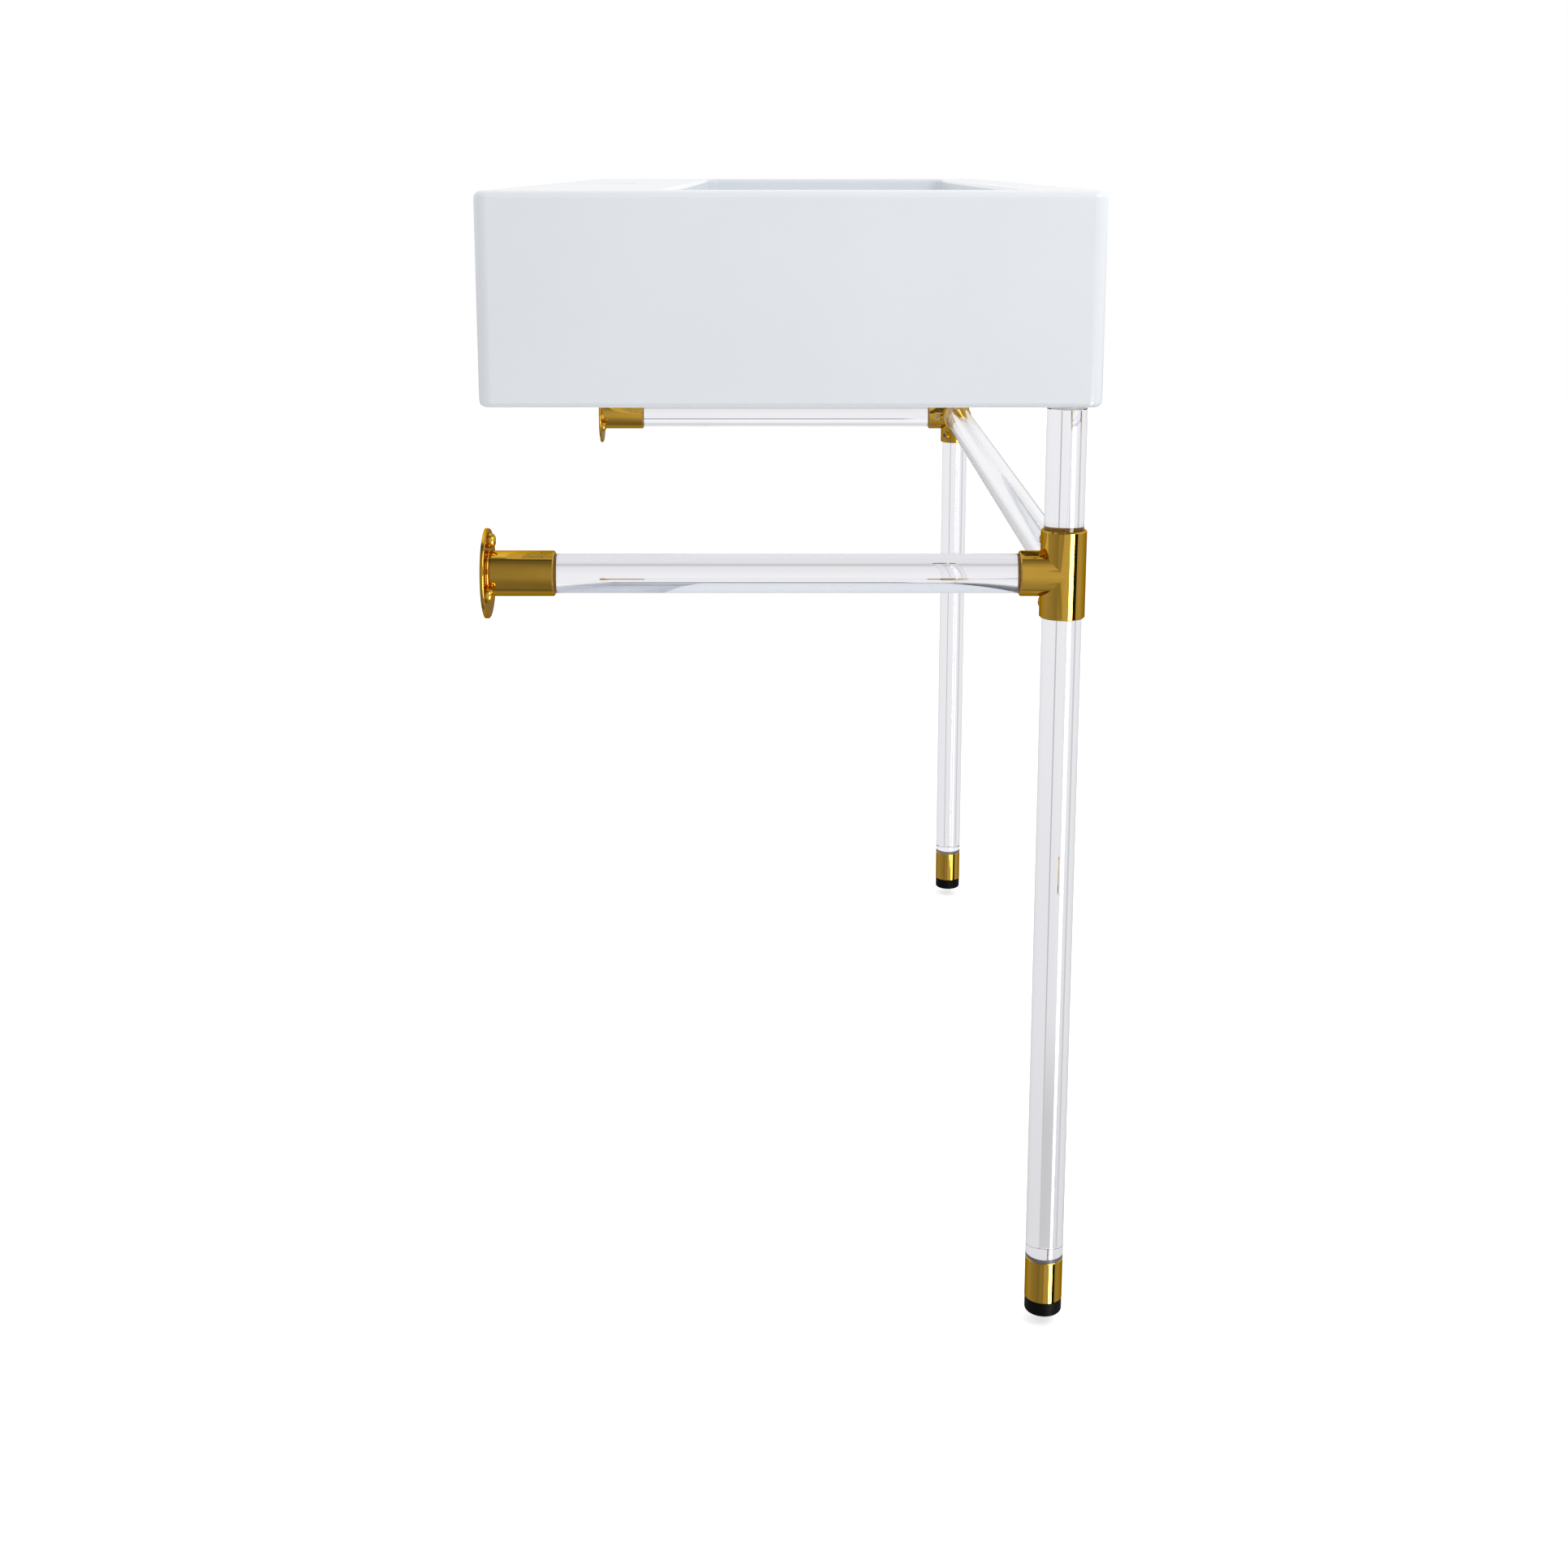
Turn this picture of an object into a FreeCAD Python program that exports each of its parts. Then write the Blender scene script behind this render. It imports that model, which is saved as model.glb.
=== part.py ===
import FreeCAD, Part
import math
import os
import re
import Sketcher

# A console sink: a glazed ceramic basin that hangs on the wall at its back and stands on two clear
# acrylic legs at its front. Brass corner tees join the legs to a front rail and to two side rails,
# which run back to wall flanges.
#
# Frame, in millimetres: +X to the right seen from the front, the front faces -Y, the wall is the
# plane of the basin's back face at +Y, +Z up. The origin is on the floor, under the middle.

doc = FreeCAD.newDocument("ConsoleSink")

# ---------------------------------------------------------------------------------------------
# Driving dimensions, kept in a sheet: name, value in mm (or degrees, or a count), meaning
# ---------------------------------------------------------------------------------------------
SIZES = [
    ("basin_width", 1016, "basin, end to end"),
    ("basin_depth", 457, "basin, front to wall"),
    ("rim_height", 889, "floor to the rim"),
    ("basin_height", 156, "apron, top to bottom"),
    ("corner_round", 11, "upright outer corners"),
    ("top_round", 5.5, "outer edge of the rim"),
    ("bottom_round", 4.5, "bottom edge of the aprons"),
    ("front_rim", 49, "bowl to the front face"),
    ("end_rim", 50, "bowl to each end face"),
    ("faucet_deck", 134.5, "bowl to the wall"),
    ("bowl_depth", 115, "rim to the bowl's floor at its edge"),
    ("bowl_corner_round", 14, "upright corners inside the bowl"),
    ("bowl_floor_round", 18, "bowl's wall into its floor"),
    ("rim_round", 4, "rim into the bowl"),
    ("floor_fall", 5, "how much the bowl's floor falls to the drain"),
    ("floor_margin", 22, "level strip of floor along the bowl's wall"),
    ("drain_square", 78, "level patch of floor round the drain"),
    ("drain_bore", 45, "drain hole, across"),
    ("drain_seat", 64, "seat of the drain flange, across"),
    ("drain_seat_depth", 3, "seat of the drain flange, sunk"),
    ("faucet_bore", 35, "faucet hole, across"),
    ("faucet_setback", 66, "faucet hole to the wall"),
    ("apron_wall", 14, "ceramic, aprons"),
    ("bowl_wall", 12, "ceramic, bowl's sides"),
    ("floor_wall", 12, "ceramic, bowl's floor at the drain"),
    ("deck_wall", 16, "ceramic, deck and rims"),
    ("leg_block_height", 60, "solid block over each leg"),
    ("wall_bolt_bore", 14, "holes for the wall bolts, across"),
    ("wall_bolt_spacing", 280, "between the wall bolts"),
    ("wall_bolt_drop", 60, "rim to the wall bolts"),
    ("leg_end_inset", 18.7, "leg's axis to the end face"),
    ("leg_front_inset", 24.15, "leg's axis to the front face"),
    ("rod_diameter", 30, "legs and rails"),
    ("rod_bevel", 0.5, "edges of the rods"),
    ("socket_clearance", 0.1, "rod to its socket, all round"),
    ("end_clearance", 0.3, "rod's end to the stop in its socket"),
    ("rail_height", 606.6, "floor to the rails' axis"),
    ("fitting_outer", 34.4, "brass round a rod, across"),
    ("fitting_bevel", 0.7, "edges of the fittings"),
    ("barrel_length", 66.6, "tee, along the leg"),
    ("arm_reach", 32.8, "tee, leg's axis to each arm's mouth"),
    ("socket_depth", 16.5, "rod into the tee"),
    ("stop_bore", 25, "bore behind each stop, across"),
    ("boss_diameter", 9.5, "set-screw bosses, across"),
    ("boss_proud", 2.2, "set-screw bosses, out of the fitting"),
    ("boss_setback", 9, "set screw to the mouth of its socket"),
    ("boss_angle", 45, "barrel's set screws, from the side arm towards the front arm, degrees"),
    ("grub_diameter", 5, "set screws, across"),
    ("grub_clearance", 0.05, "set screw to its hole, and to the rod"),
    ("grub_sunk", 0.3, "set screw below its boss"),
    ("grub_socket", 2.5, "set screw's hexagon, across flats"),
    ("grub_socket_depth", 2, "set screw's hexagon, sunk"),
    ("flange_diameter", 68, "wall flange, across"),
    ("flange_thickness", 3, "wall flange's plate"),
    ("flange_reach", 51.8, "wall to the mouth of the flange's collar"),
    ("flange_socket_depth", 37, "rod into the wall flange"),
    ("flange_edge_round", 1.2, "edge of the wall flange's plate"),
    ("flange_fillet", 1, "plate into collar"),
    ("flange_screw_circle", 50, "flange screws' circle, across"),
    ("flange_screw_count", 3, "flange screws, count"),
    ("screw_shank", 5, "flange screws, across"),
    ("screw_clearance", 0.2, "flange screw to its hole"),
    ("screw_head", 11, "flange screws' heads, across"),
    ("screw_head_round", 3.6, "round over a screw's head"),
    ("screw_head_height", 5, "flange screws' heads"),
    ("pad_height", 11.5, "foot pad"),
    ("pad_diameter", 29.6, "foot pad, across"),
    ("pad_bottom_round", 2, "foot pad's bottom edge"),
    ("pad_top_round", 0.6, "foot pad's top edge"),
    ("pad_sole", 3.4, "foot pad under the stem's head"),
    ("foot_gap", 0.3, "foot pad to ferrule, and round the stem's head"),
    ("ferrule_length", 35.1, "leg ferrule"),
    ("ferrule_bevel", 0.5, "edges of the leg ferrule"),
    ("cup_depth", 21, "leg ferrule's cup"),
    ("spigot_diameter", 24, "turned end of the leg in its ferrule"),
    ("gasket_thickness", 3, "ring between ferrule and leg"),
    ("gasket_round", 0.6, "outer edges of that ring"),
    ("stem_diameter", 10, "threaded hole for the levelling stem, across"),
    ("stem_clearance", 0.05, "stem to its threads, all round"),
    ("stem_head", 17, "stem's round head in the pad, across"),
    ("stem_head_height", 3.2, "stem's round head"),
    ("stem_spare", 3, "stem past the threads with the foot run out"),
    ("foot_travel", 10, "how far the foot runs out"),
    ("stem_room", 1, "round the stem's end, inside the leg"),
    ("cushion_thickness", 1.5, "cushion between leg and basin"),
    ("peg_diameter", 10, "cushion's locating peg, across"),
    ("peg_length", 8, "cushion's locating peg"),
    ("peg_clearance", 0.3, "round the locating peg"),
]
SHEET = "Sizes"
NAMES = {name for name, _, _ in SIZES}


def fill_sheet():
    """Writes the sizes to the document's sheet, one row each, and names each value's cell."""
    sheet = doc.addObject("Spreadsheet::Sheet", SHEET)
    for row, (name, size, meaning) in enumerate(SIZES, start=1):
        sheet.set(f"A{row}", meaning)
        sheet.set(f"B{row}", str(size))
        sheet.setAlias(f"B{row}", name)
    doc.recompute()
    return sheet


sheet = fill_sheet()

# ---------------------------------------------------------------------------------------------
# Formulas: every length and place below is a formula over the names in the sheet
# ---------------------------------------------------------------------------------------------
# Places that several pieces share.
PLACES = {
    "basin_bottom": "rim_height - basin_height",
    "bowl_length": "basin_width - 2 * end_rim",
    "bowl_middle": "(front_rim - faucet_deck) / 2",
    "skirt_depth": "basin_height - bowl_depth - floor_fall - floor_wall",
    "leg_out": "basin_width / 2 - leg_end_inset",
    "leg_forward": "basin_depth / 2 - leg_front_inset",
    "rod_radius": "rod_diameter / 2",
    "socket_radius": "rod_diameter / 2 + socket_clearance",
    "fitting_radius": "fitting_outer / 2",
    "socket_end": "arm_reach - socket_depth",
    "barrel_socket_end": "barrel_length / 2 - socket_depth",
    "flange_stop": "flange_reach - flange_socket_depth",
    "ferrule_bottom": "pad_height + foot_gap",
    "ferrule_top": "pad_height + foot_gap + ferrule_length",
    "cup_floor": "pad_height + foot_gap + ferrule_length - cup_depth",
    "leg_shoulder": "pad_height + foot_gap + ferrule_length + gasket_thickness",
    "leg_top": "rim_height - basin_height - cushion_thickness",
    "stem_radius": "stem_diameter / 2 - stem_clearance",
    "stem_top": "pad_height + foot_gap + ferrule_length - cup_depth + foot_travel + stem_spare",
}


def cells(formula):
    """The formula with each place spelt out and each size's name pointing at its cell."""

    def swap(word):
        name = word[0]
        if name in PLACES:
            return f"({cells(PLACES[name])})"
        return f"{SHEET}.{name}" if name in NAMES else name

    return re.sub(r"[A-Za-z_]+", swap, str(formula))


def value(formula):
    """The formula's value now, as a plain number."""
    return float(sheet.evalExpression(cells(formula)))


def bind(thing, **formulas):
    """Ties properties to formulas: bind(pad, Length="basin_height")."""
    for name, formula in formulas.items():
        thing.setExpression(name, cells(formula))


def set_place(thing, x="0", y="0", z="0", turn=None):
    """Puts a sub-part at a place given by formulas, turned by an optional rotation."""
    thing.Placement = FreeCAD.Placement(FreeCAD.Vector(0, 0, 0), turn or FreeCAD.Rotation())
    bind(thing, **{"Placement.Base.x": x, "Placement.Base.y": y, "Placement.Base.z": z})


# ---------------------------------------------------------------------------------------------
# Sketches and features
# ---------------------------------------------------------------------------------------------
X_AXIS = FreeCAD.Vector(1, 0, 0)
Y_AXIS = FreeCAD.Vector(0, 1, 0)
Z_AXIS = FreeCAD.Vector(0, 0, 1)
TOUCH = 1e-4
ALONG_EDGE = (0, 0.25, 0.5, 0.75, 1)


def add_body(label):
    """A new body, which is one sub-part."""
    body = doc.addObject("PartDesign::Body", label)
    body.Label = label
    return body


def add_sketch(body, name, role, height="0"):
    """An empty sketch on one of the body's own origin planes, or at a height above it."""
    sketch = body.newObject("Sketcher::SketchObject", name)
    plane = next(item for item in body.Origin.OriginFeatures if item.Role == role)
    sketch.AttachmentSupport = [(plane, "")]
    sketch.MapMode = "FlatFace"
    bind(sketch, **{"AttachmentOffset.Base.z": height})
    return sketch


def tie_point(sketch, geometry, point, x, y):
    """Holds a point of the sketch at x, y from its origin, both formulas."""
    for kind, formula in (("DistanceX", x), ("DistanceY", y)):
        rule = Sketcher.Constraint(kind, -1, 1, geometry, point, value(formula))
        number = sketch.addConstraint(rule)
        sketch.setExpression(f"Constraints[{number}]", cells(formula))


def draw_outline(sketch, corners):
    """A closed outline of straight lines through corners, each a pair of formulas."""
    spots = [FreeCAD.Vector(value(x), value(y), 0) for x, y in corners]
    lines = [
        sketch.addGeometry(Part.LineSegment(start, end), False)
        for start, end in zip(spots, spots[1:] + spots[:1])
    ]
    for line, before, (x, y) in zip(lines, lines[-1:] + lines[:-1], corners):
        sketch.addConstraint(Sketcher.Constraint("Coincident", before, 2, line, 1))
        tie_point(sketch, line, 1, x, y)


def draw_box(sketch, left, right, bottom, top):
    """A rectangle between four formulas."""
    draw_outline(sketch, [(left, bottom), (right, bottom), (right, top), (left, top)])


def draw_circle(sketch, diameter, x="0", y="0"):
    """A circle of a diameter, its centre at x, y."""
    centre = FreeCAD.Vector(value(x), value(y), 0)
    ring = sketch.addGeometry(Part.Circle(centre, Z_AXIS, value(diameter) / 2), False)
    number = sketch.addConstraint(Sketcher.Constraint("Diameter", ring, value(diameter)))
    sketch.setExpression(f"Constraints[{number}]", cells(diameter))
    tie_point(sketch, ring, 3, x, y)


def extrude(body, kind, name, sketch, length, backwards=False, both_ways=False):
    """A Pad or a Pocket of a sketch, one way along its normal or half each way."""
    feature = body.newObject(f"PartDesign::{kind}", name)
    feature.Profile = sketch
    bind(feature, Length=length)
    feature.Reversed = backwards
    feature.Midplane = both_ways
    doc.recompute()
    return feature


def turn_profile(body, name, corners):
    """A Revolution about the body's Z axis; corners are pairs of radius and height."""
    sketch = add_sketch(body, f"{name}Profile", "XZ_Plane")
    draw_outline(sketch, corners)
    feature = body.newObject("PartDesign::Revolution", name)
    feature.Profile = sketch
    feature.ReferenceAxis = (sketch, ["V_Axis"])
    feature.Angle = 360
    doc.recompute()
    return feature


def add_drum(body, kind, name, diameter, length, place, direction):
    """An AdditiveCylinder or SubtractiveCylinder from a place, three formulas, along a direction."""
    drum = body.newObject(f"PartDesign::{kind}Cylinder", name)
    x, y, z = place
    bind(drum, Radius=f"({diameter}) / 2", Height=length)
    set_place(drum, x, y, z, FreeCAD.Rotation(Z_AXIS, direction))
    doc.recompute()
    return drum


def find_edges(feature, test):
    """Names of the feature's edges that lie wholly where a test of a point holds."""
    found = []
    for number, edge in enumerate(feature.Shape.Edges, start=1):
        first, length = edge.FirstParameter, edge.LastParameter - edge.FirstParameter
        if all(test(edge.valueAt(first + length * part)) for part in ALONG_EDGE):
            found.append(f"Edge{number}")
    return found


def dress(body, kind, name, base, size, test):
    """A Fillet or a Chamfer on the edges of base that a test picks out."""
    edges = find_edges(base, test)
    if not edges:
        raise RuntimeError(f"{body.Label}: {name} found no edge")
    feature = body.newObject(f"PartDesign::{kind}", name)
    feature.Base = (base, edges)
    bind(feature, **{"Radius" if kind == "Fillet" else "Size": size})
    doc.recompute()
    return feature


def near(one, other):
    """True where two lengths are the same."""
    return abs(one - other) < TOUCH


def on_ring(radius, height):
    """A test for points on a circle about the Z axis, of a radius, at a height."""
    wide, high = value(radius), value(height)
    return lambda point: near(math.hypot(point.x, point.y), wide) and near(point.z, high)


# ---------------------------------------------------------------------------------------------
# Basin
# ---------------------------------------------------------------------------------------------
# Local Z = 0 is the bottom of the aprons.
PEG_HOLE = "peg_diameter + 2 * peg_clearance"
BASIN_BOX = ("basin_width / 2", "-basin_depth / 2", "basin_depth / 2")
BOWL_BOX = ("bowl_length / 2", "front_rim - basin_depth / 2", "basin_depth / 2 - faucet_deck")


def grow_box(box, size):
    """A plan box (half its width, front, back) grown on every side by a formula."""
    half_width, front, back = box
    return (f"{half_width} + ({size})", f"{front} - ({size})", f"{back} + ({size})")


def draw_plan(sketch, box):
    """The box's outline, seen from above."""
    half_width, front, back = box
    draw_box(sketch, f"-({half_width})", half_width, front, back)


def at_corners(box):
    """A test for points on the box's four upright corners."""
    wide, low, high = (value(formula) for formula in box)
    return lambda spot: near(abs(spot.x), wide) and (near(spot.y, low) or near(spot.y, high))


def within(box, height):
    """A test for points at a height, inside the box or on its outline."""
    wide, low, high = (value(formula) for formula in box)
    level = value(height)
    return lambda spot: (
        near(spot.z, level)
        and abs(spot.x) < wide + TOUCH
        and low - TOUCH < spot.y < high + TOUCH
    )


def between(outer, inner, height):
    """A test for points at a height, within one box and nowhere within another."""
    in_outer, in_inner = within(outer, height), within(inner, height)
    return lambda spot: in_outer(spot) and not in_inner(spot)


def cut_bowl(body):
    """The trough: upright walls, a round into the floor, and a floor that falls to the drain."""
    sketch = add_sketch(body, "BowlOutline", "XY_Plane", "basin_height")
    draw_plan(sketch, BOWL_BOX)
    bowl = extrude(body, "Pocket", "Bowl", sketch, "bowl_depth")
    bowl = dress(body, "Fillet", "BowlCorners", bowl, "bowl_corner_round", at_corners(BOWL_BOX))
    floor = "basin_height - bowl_depth"
    dress(body, "Fillet", "BowlFloorRound", bowl, "bowl_floor_round", within(BOWL_BOX, floor))

    strip = add_sketch(body, "FloorStrip", "XY_Plane", floor)
    draw_plan(strip, grow_box(BOWL_BOX, "-floor_margin"))
    patch = add_sketch(body, "DrainPatch", "XY_Plane", f"{floor} - floor_fall")
    drain = ("0", "bowl_middle", "bowl_middle")
    draw_plan(patch, grow_box(drain, "drain_square / 2"))
    fall = body.newObject("PartDesign::SubtractiveLoft", "FloorFall")
    fall.Profile = strip
    fall.Sections = [patch]
    fall.Ruled = True
    doc.recompute()

    sketch = add_sketch(body, "DrainSeatRing", "XY_Plane", f"{floor} - floor_fall")
    draw_circle(sketch, "drain_seat", "0", "bowl_middle")
    return extrude(body, "Pocket", "DrainSeat", sketch, "drain_seat_depth")


def round_rims(body, bowl):
    """The rounds along the bowl's rim, the outer top edge and the bottom edge."""
    rim = dress(body, "Fillet", "RimRound", bowl, "rim_round", within(BOWL_BOX, "basin_height"))
    outline = between(BASIN_BOX, grow_box(BOWL_BOX, "rim_round"), "basin_height")
    top = dress(body, "Fillet", "TopRound", rim, "top_round", outline)
    dress(body, "Fillet", "BottomRound", top, "bottom_round", within(BASIN_BOX, "0"))


def hollow_underside(body):
    """The space under the bowl, the channel round it up to the deck, and the solid leg blocks."""
    inside = grow_box(BASIN_BOX, "-apron_wall")
    sketch = add_sketch(body, "SkirtOutline", "XY_Plane")
    draw_plan(sketch, inside)
    extrude(body, "Pocket", "Skirt", sketch, "skirt_depth", backwards=True)

    sketch = add_sketch(body, "ChannelOutline", "XY_Plane")
    draw_plan(sketch, inside)
    draw_plan(sketch, grow_box(BOWL_BOX, "bowl_wall"))
    extrude(body, "Pocket", "Channel", sketch, "basin_height - deck_wall", backwards=True)

    for name, side in (("Left", "-1"), ("Right", "1")):
        sketch = add_sketch(body, f"{name}LegBlockOutline", "XY_Plane")
        outer = f"{side} * (basin_width - apron_wall) / 2"
        inner = f"{side} * (bowl_length + bowl_wall) / 2"
        near_x, far_x = (outer, inner) if side == "-1" else (inner, outer)
        front = "(apron_wall - basin_depth) / 2"
        draw_box(sketch, near_x, far_x, front, "front_rim - (basin_depth + bowl_wall) / 2")
        extrude(body, "Pad", f"{name}LegBlock", sketch, "leg_block_height")


def drill_basin(body):
    """The drain, faucet, wall-bolt and leg-peg holes."""
    holes = (
        ("Drain", "drain_bore", "0", "bowl_middle", "basin_height"),
        ("Faucet", "faucet_bore", "0", "basin_depth / 2 - faucet_setback", "basin_height"),
        ("LeftPeg", PEG_HOLE, "-leg_out", "-leg_forward", "peg_length + end_clearance"),
        ("RightPeg", PEG_HOLE, "leg_out", "-leg_forward", "peg_length + end_clearance"),
    )
    for name, bore, x, y, depth in holes:
        sketch = add_sketch(body, f"{name}Hole", "XY_Plane")
        draw_circle(sketch, bore, x, y)
        extrude(body, "Pocket", f"{name}Bore", sketch, depth, backwards=True)
    # The XZ plane's normal is -Y, so a sketch at minus half the depth lies in the back face.
    sketch = add_sketch(body, "WallBoltHoles", "XZ_Plane", "-basin_depth / 2")
    for x in ("-wall_bolt_spacing / 2", "wall_bolt_spacing / 2"):
        draw_circle(sketch, "wall_bolt_bore", x, "basin_height - wall_bolt_drop")
    extrude(body, "Pocket", "WallBoltBores", sketch, "apron_wall * 2", backwards=True)


def make_basin():
    """The ceramic casting."""
    body = add_body("basin")
    sketch = add_sketch(body, "BlockOutline", "XY_Plane")
    draw_plan(sketch, BASIN_BOX)
    block = extrude(body, "Pad", "Block", sketch, "basin_height")
    dress(body, "Fillet", "CornerRounds", block, "corner_round", at_corners(BASIN_BOX))
    bowl = cut_bowl(body)
    round_rims(body, bowl)
    hollow_underside(body)
    drill_basin(body)
    set_place(body, z="basin_bottom")
    return body


# ---------------------------------------------------------------------------------------------
# Legs and rails: clear rods
# ---------------------------------------------------------------------------------------------
def bevelled_end(radius, height, inwards):
    """The outline's two corners at a rod's end; inwards is 1 at the bottom and -1 at the top."""
    flat = (f"{radius} - rod_bevel", height)
    full = (radius, f"{height} + {inwards} * rod_bevel")
    return [flat, full] if inwards == 1 else [full, flat]


def plain_rod(bottom, top):
    """The outline of a solid rod between two heights."""
    ends = bevelled_end("rod_radius", bottom, 1) + bevelled_end("rod_radius", top, -1)
    return [("0", bottom), *ends, ("0", top)]


def make_upper_rod(side, way):
    """From the tee's upper socket to the cushion."""
    body = add_body(f"{side}_upper_rod")
    bottom = "rail_height + barrel_socket_end + end_clearance"
    turn_profile(body, "Rod", plain_rod(bottom, "leg_top"))
    set_place(body, f"{way} * leg_out", "-leg_forward")
    return body


def make_lower_rod(side, way):
    """From the ferrule to the tee's lower socket: a turned spigot sits in the ferrule's cup."""
    body = add_body(f"{side}_lower_rod")
    bottom, shoulder = "cup_floor + end_clearance", "leg_shoulder"
    top = "rail_height - barrel_socket_end - end_clearance"
    room, room_top = "stem_radius + stem_room", "stem_top + stem_room"
    spigot = "spigot_diameter / 2"
    corners = [("0", room_top), (room, room_top), (room, bottom)]
    corners += bevelled_end(spigot, bottom, 1)
    corners += [(spigot, shoulder)]
    corners += bevelled_end("rod_radius", shoulder, 1)
    corners += bevelled_end("rod_radius", top, -1)
    corners += [("0", top)]
    turn_profile(body, "Rod", corners)
    set_place(body, f"{way} * leg_out", "-leg_forward")
    return body


def make_rail(label, start, end, turn, **place):
    """A plain rod along its local Z from start to end."""
    body = add_body(label)
    turn_profile(body, "Rail", plain_rod(start, end))
    set_place(body, turn=turn, z="rail_height", **place)
    return body


def make_front_rail():
    """Between the two tees."""
    reach = "leg_out - socket_end - end_clearance"
    turn = FreeCAD.Rotation(Z_AXIS, X_AXIS)
    return make_rail("front_rail", f"-({reach})", reach, turn, y="-leg_forward")


def make_side_rail(side, way):
    """From the tee's side arm back into the wall flange."""
    start = "socket_end + end_clearance - leg_forward"
    end = "basin_depth / 2 - flange_stop - end_clearance"
    turn = FreeCAD.Rotation(Z_AXIS, Y_AXIS)
    return make_rail(f"{side}_side_rail", start, end, turn, x=f"{way} * leg_out")


# ---------------------------------------------------------------------------------------------
# Set screws
# ---------------------------------------------------------------------------------------------
GRUB_LENGTH = "fitting_radius + boss_proud - grub_sunk - rod_radius - grub_clearance"


def add_grub(name, length):
    """A set screw along local Z, its point at the origin and a hexagon in its outer end."""
    rod = doc.addObject("Part::Cylinder", f"{name}Rod")
    bind(rod, Radius="grub_diameter / 2", Height=length)
    hexagon = doc.addObject("Part::Prism", f"{name}Hexagon")
    hexagon.Polygon = 6
    bind(hexagon, Circumradius="grub_socket / sqrt(3)", Height="grub_socket_depth * 2")
    set_place(hexagon, z=f"{length} - grub_socket_depth")
    grub = doc.addObject("Part::Cut", name)
    grub.Base = rod
    grub.Tool = hexagon
    return grub


def group(label, members):
    """Separate solids that share one node."""
    together = doc.addObject("Part::Compound", label)
    together.Label = label
    together.Links = members
    return together


# ---------------------------------------------------------------------------------------------
# Corner tees
# ---------------------------------------------------------------------------------------------
# Local origin: where the axes of the leg and the two arms meet. way is 1 on the right and -1 on
# the left, so the front arm, which points to the middle, runs along -way * X.


def tee_bosses(way):
    """Each boss: name, the place on its rod's axis, and the direction that it faces."""
    angle = math.radians(value("boss_angle"))
    slant = FreeCAD.Vector(-way * math.sin(angle), math.cos(angle), 0)
    on_barrel = "barrel_length / 2 - boss_setback"
    on_arm = "arm_reach - boss_setback"
    return (
        ("Upper", ("0", "0", on_barrel), slant),
        ("Lower", ("0", "0", f"-({on_barrel})"), slant),
        ("Side", ("0", on_arm, "0"), -way * X_AXIS),
        ("Front", (f"{-way} * ({on_arm})", "0", "0"), Y_AXIS),
    )


def make_tee(side, way):
    """Barrel on the leg, an arm to the wall and an arm to the middle, all bored to a stop."""
    body = add_body(f"{side}_corner_tee")
    inwards = -way * X_AXIS
    half_barrel = "barrel_length / 2"
    origin = ("0", "0", "0")
    foot = ("0", "0", f"-({half_barrel})")
    mouths = (
        ("Top", ("0", "0", half_barrel), -Z_AXIS),
        ("Bottom", foot, Z_AXIS),
        ("Side", ("0", "arm_reach", "0"), -Y_AXIS),
        ("Front", (f"{-way} * arm_reach", "0", "0"), -inwards),
    )
    solid = add_drum(body, "Additive", "Barrel", "fitting_outer", "barrel_length", foot, Z_AXIS)
    solid = add_drum(body, "Additive", "SideArm", "fitting_outer", "arm_reach", origin, Y_AXIS)
    solid = add_drum(body, "Additive", "FrontArm", "fitting_outer", "arm_reach", origin, inwards)
    solid = dress(body, "Chamfer", "MouthBevels", solid, "fitting_bevel", at_mouth("fitting_radius"))
    reach = "fitting_radius + boss_proud"
    for name, place, facing in tee_bosses(way):
        add_drum(body, "Additive", f"{name}Boss", "boss_diameter", reach, place, facing)
    socket = "2 * socket_radius"
    for name, mouth, inward in mouths:
        add_drum(body, "Subtractive", f"{name}Socket", socket, "socket_depth", mouth, inward)
    add_drum(body, "Subtractive", "LegBore", "stop_bore", "barrel_length", foot, Z_AXIS)
    add_drum(body, "Subtractive", "SideBore", "stop_bore", "arm_reach", origin, Y_AXIS)
    add_drum(body, "Subtractive", "FrontBore", "stop_bore", "arm_reach", origin, inwards)
    hole = "grub_diameter + 2 * grub_clearance"
    for name, place, facing in tee_bosses(way):
        add_drum(body, "Subtractive", f"{name}ScrewHole", hole, reach, place, facing)
    set_place(body, f"{way} * leg_out", "-leg_forward", "rail_height")
    return body


def at_mouth(radius):
    """A test for points on the outer edge of one of a tee's four mouths."""
    wide = value(radius)
    half_barrel, reach = value("barrel_length / 2"), value("arm_reach")

    def test(spot):
        on_barrel = near(math.hypot(spot.x, spot.y), wide) and near(abs(spot.z), half_barrel)
        on_side = near(math.hypot(spot.x, spot.z), wide) and near(spot.y, reach)
        on_front = near(math.hypot(spot.y, spot.z), wide) and near(abs(spot.x), reach)
        return on_barrel or on_side or on_front

    return test


def make_tee_screws(side, way):
    """The four set screws of one tee, each with its point at the rod that it holds."""
    grubs = []
    for name, place, facing in tee_bosses(way):
        grub = add_grub(f"{side.title()}{name}Grub", GRUB_LENGTH)
        x, y, z = place
        point = [f"{part} * (rod_radius + grub_clearance)" for part in facing]
        turn = FreeCAD.Rotation(Z_AXIS, facing)
        set_place(grub, f"{x} + {point[0]}", f"{y} + {point[1]}", f"{z} + {point[2]}", turn)
        grubs.append(grub)
    screws = group(f"{side}_tee_set_screws", grubs)
    set_place(screws, f"{way} * leg_out", "-leg_forward", "rail_height")
    return screws


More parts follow.
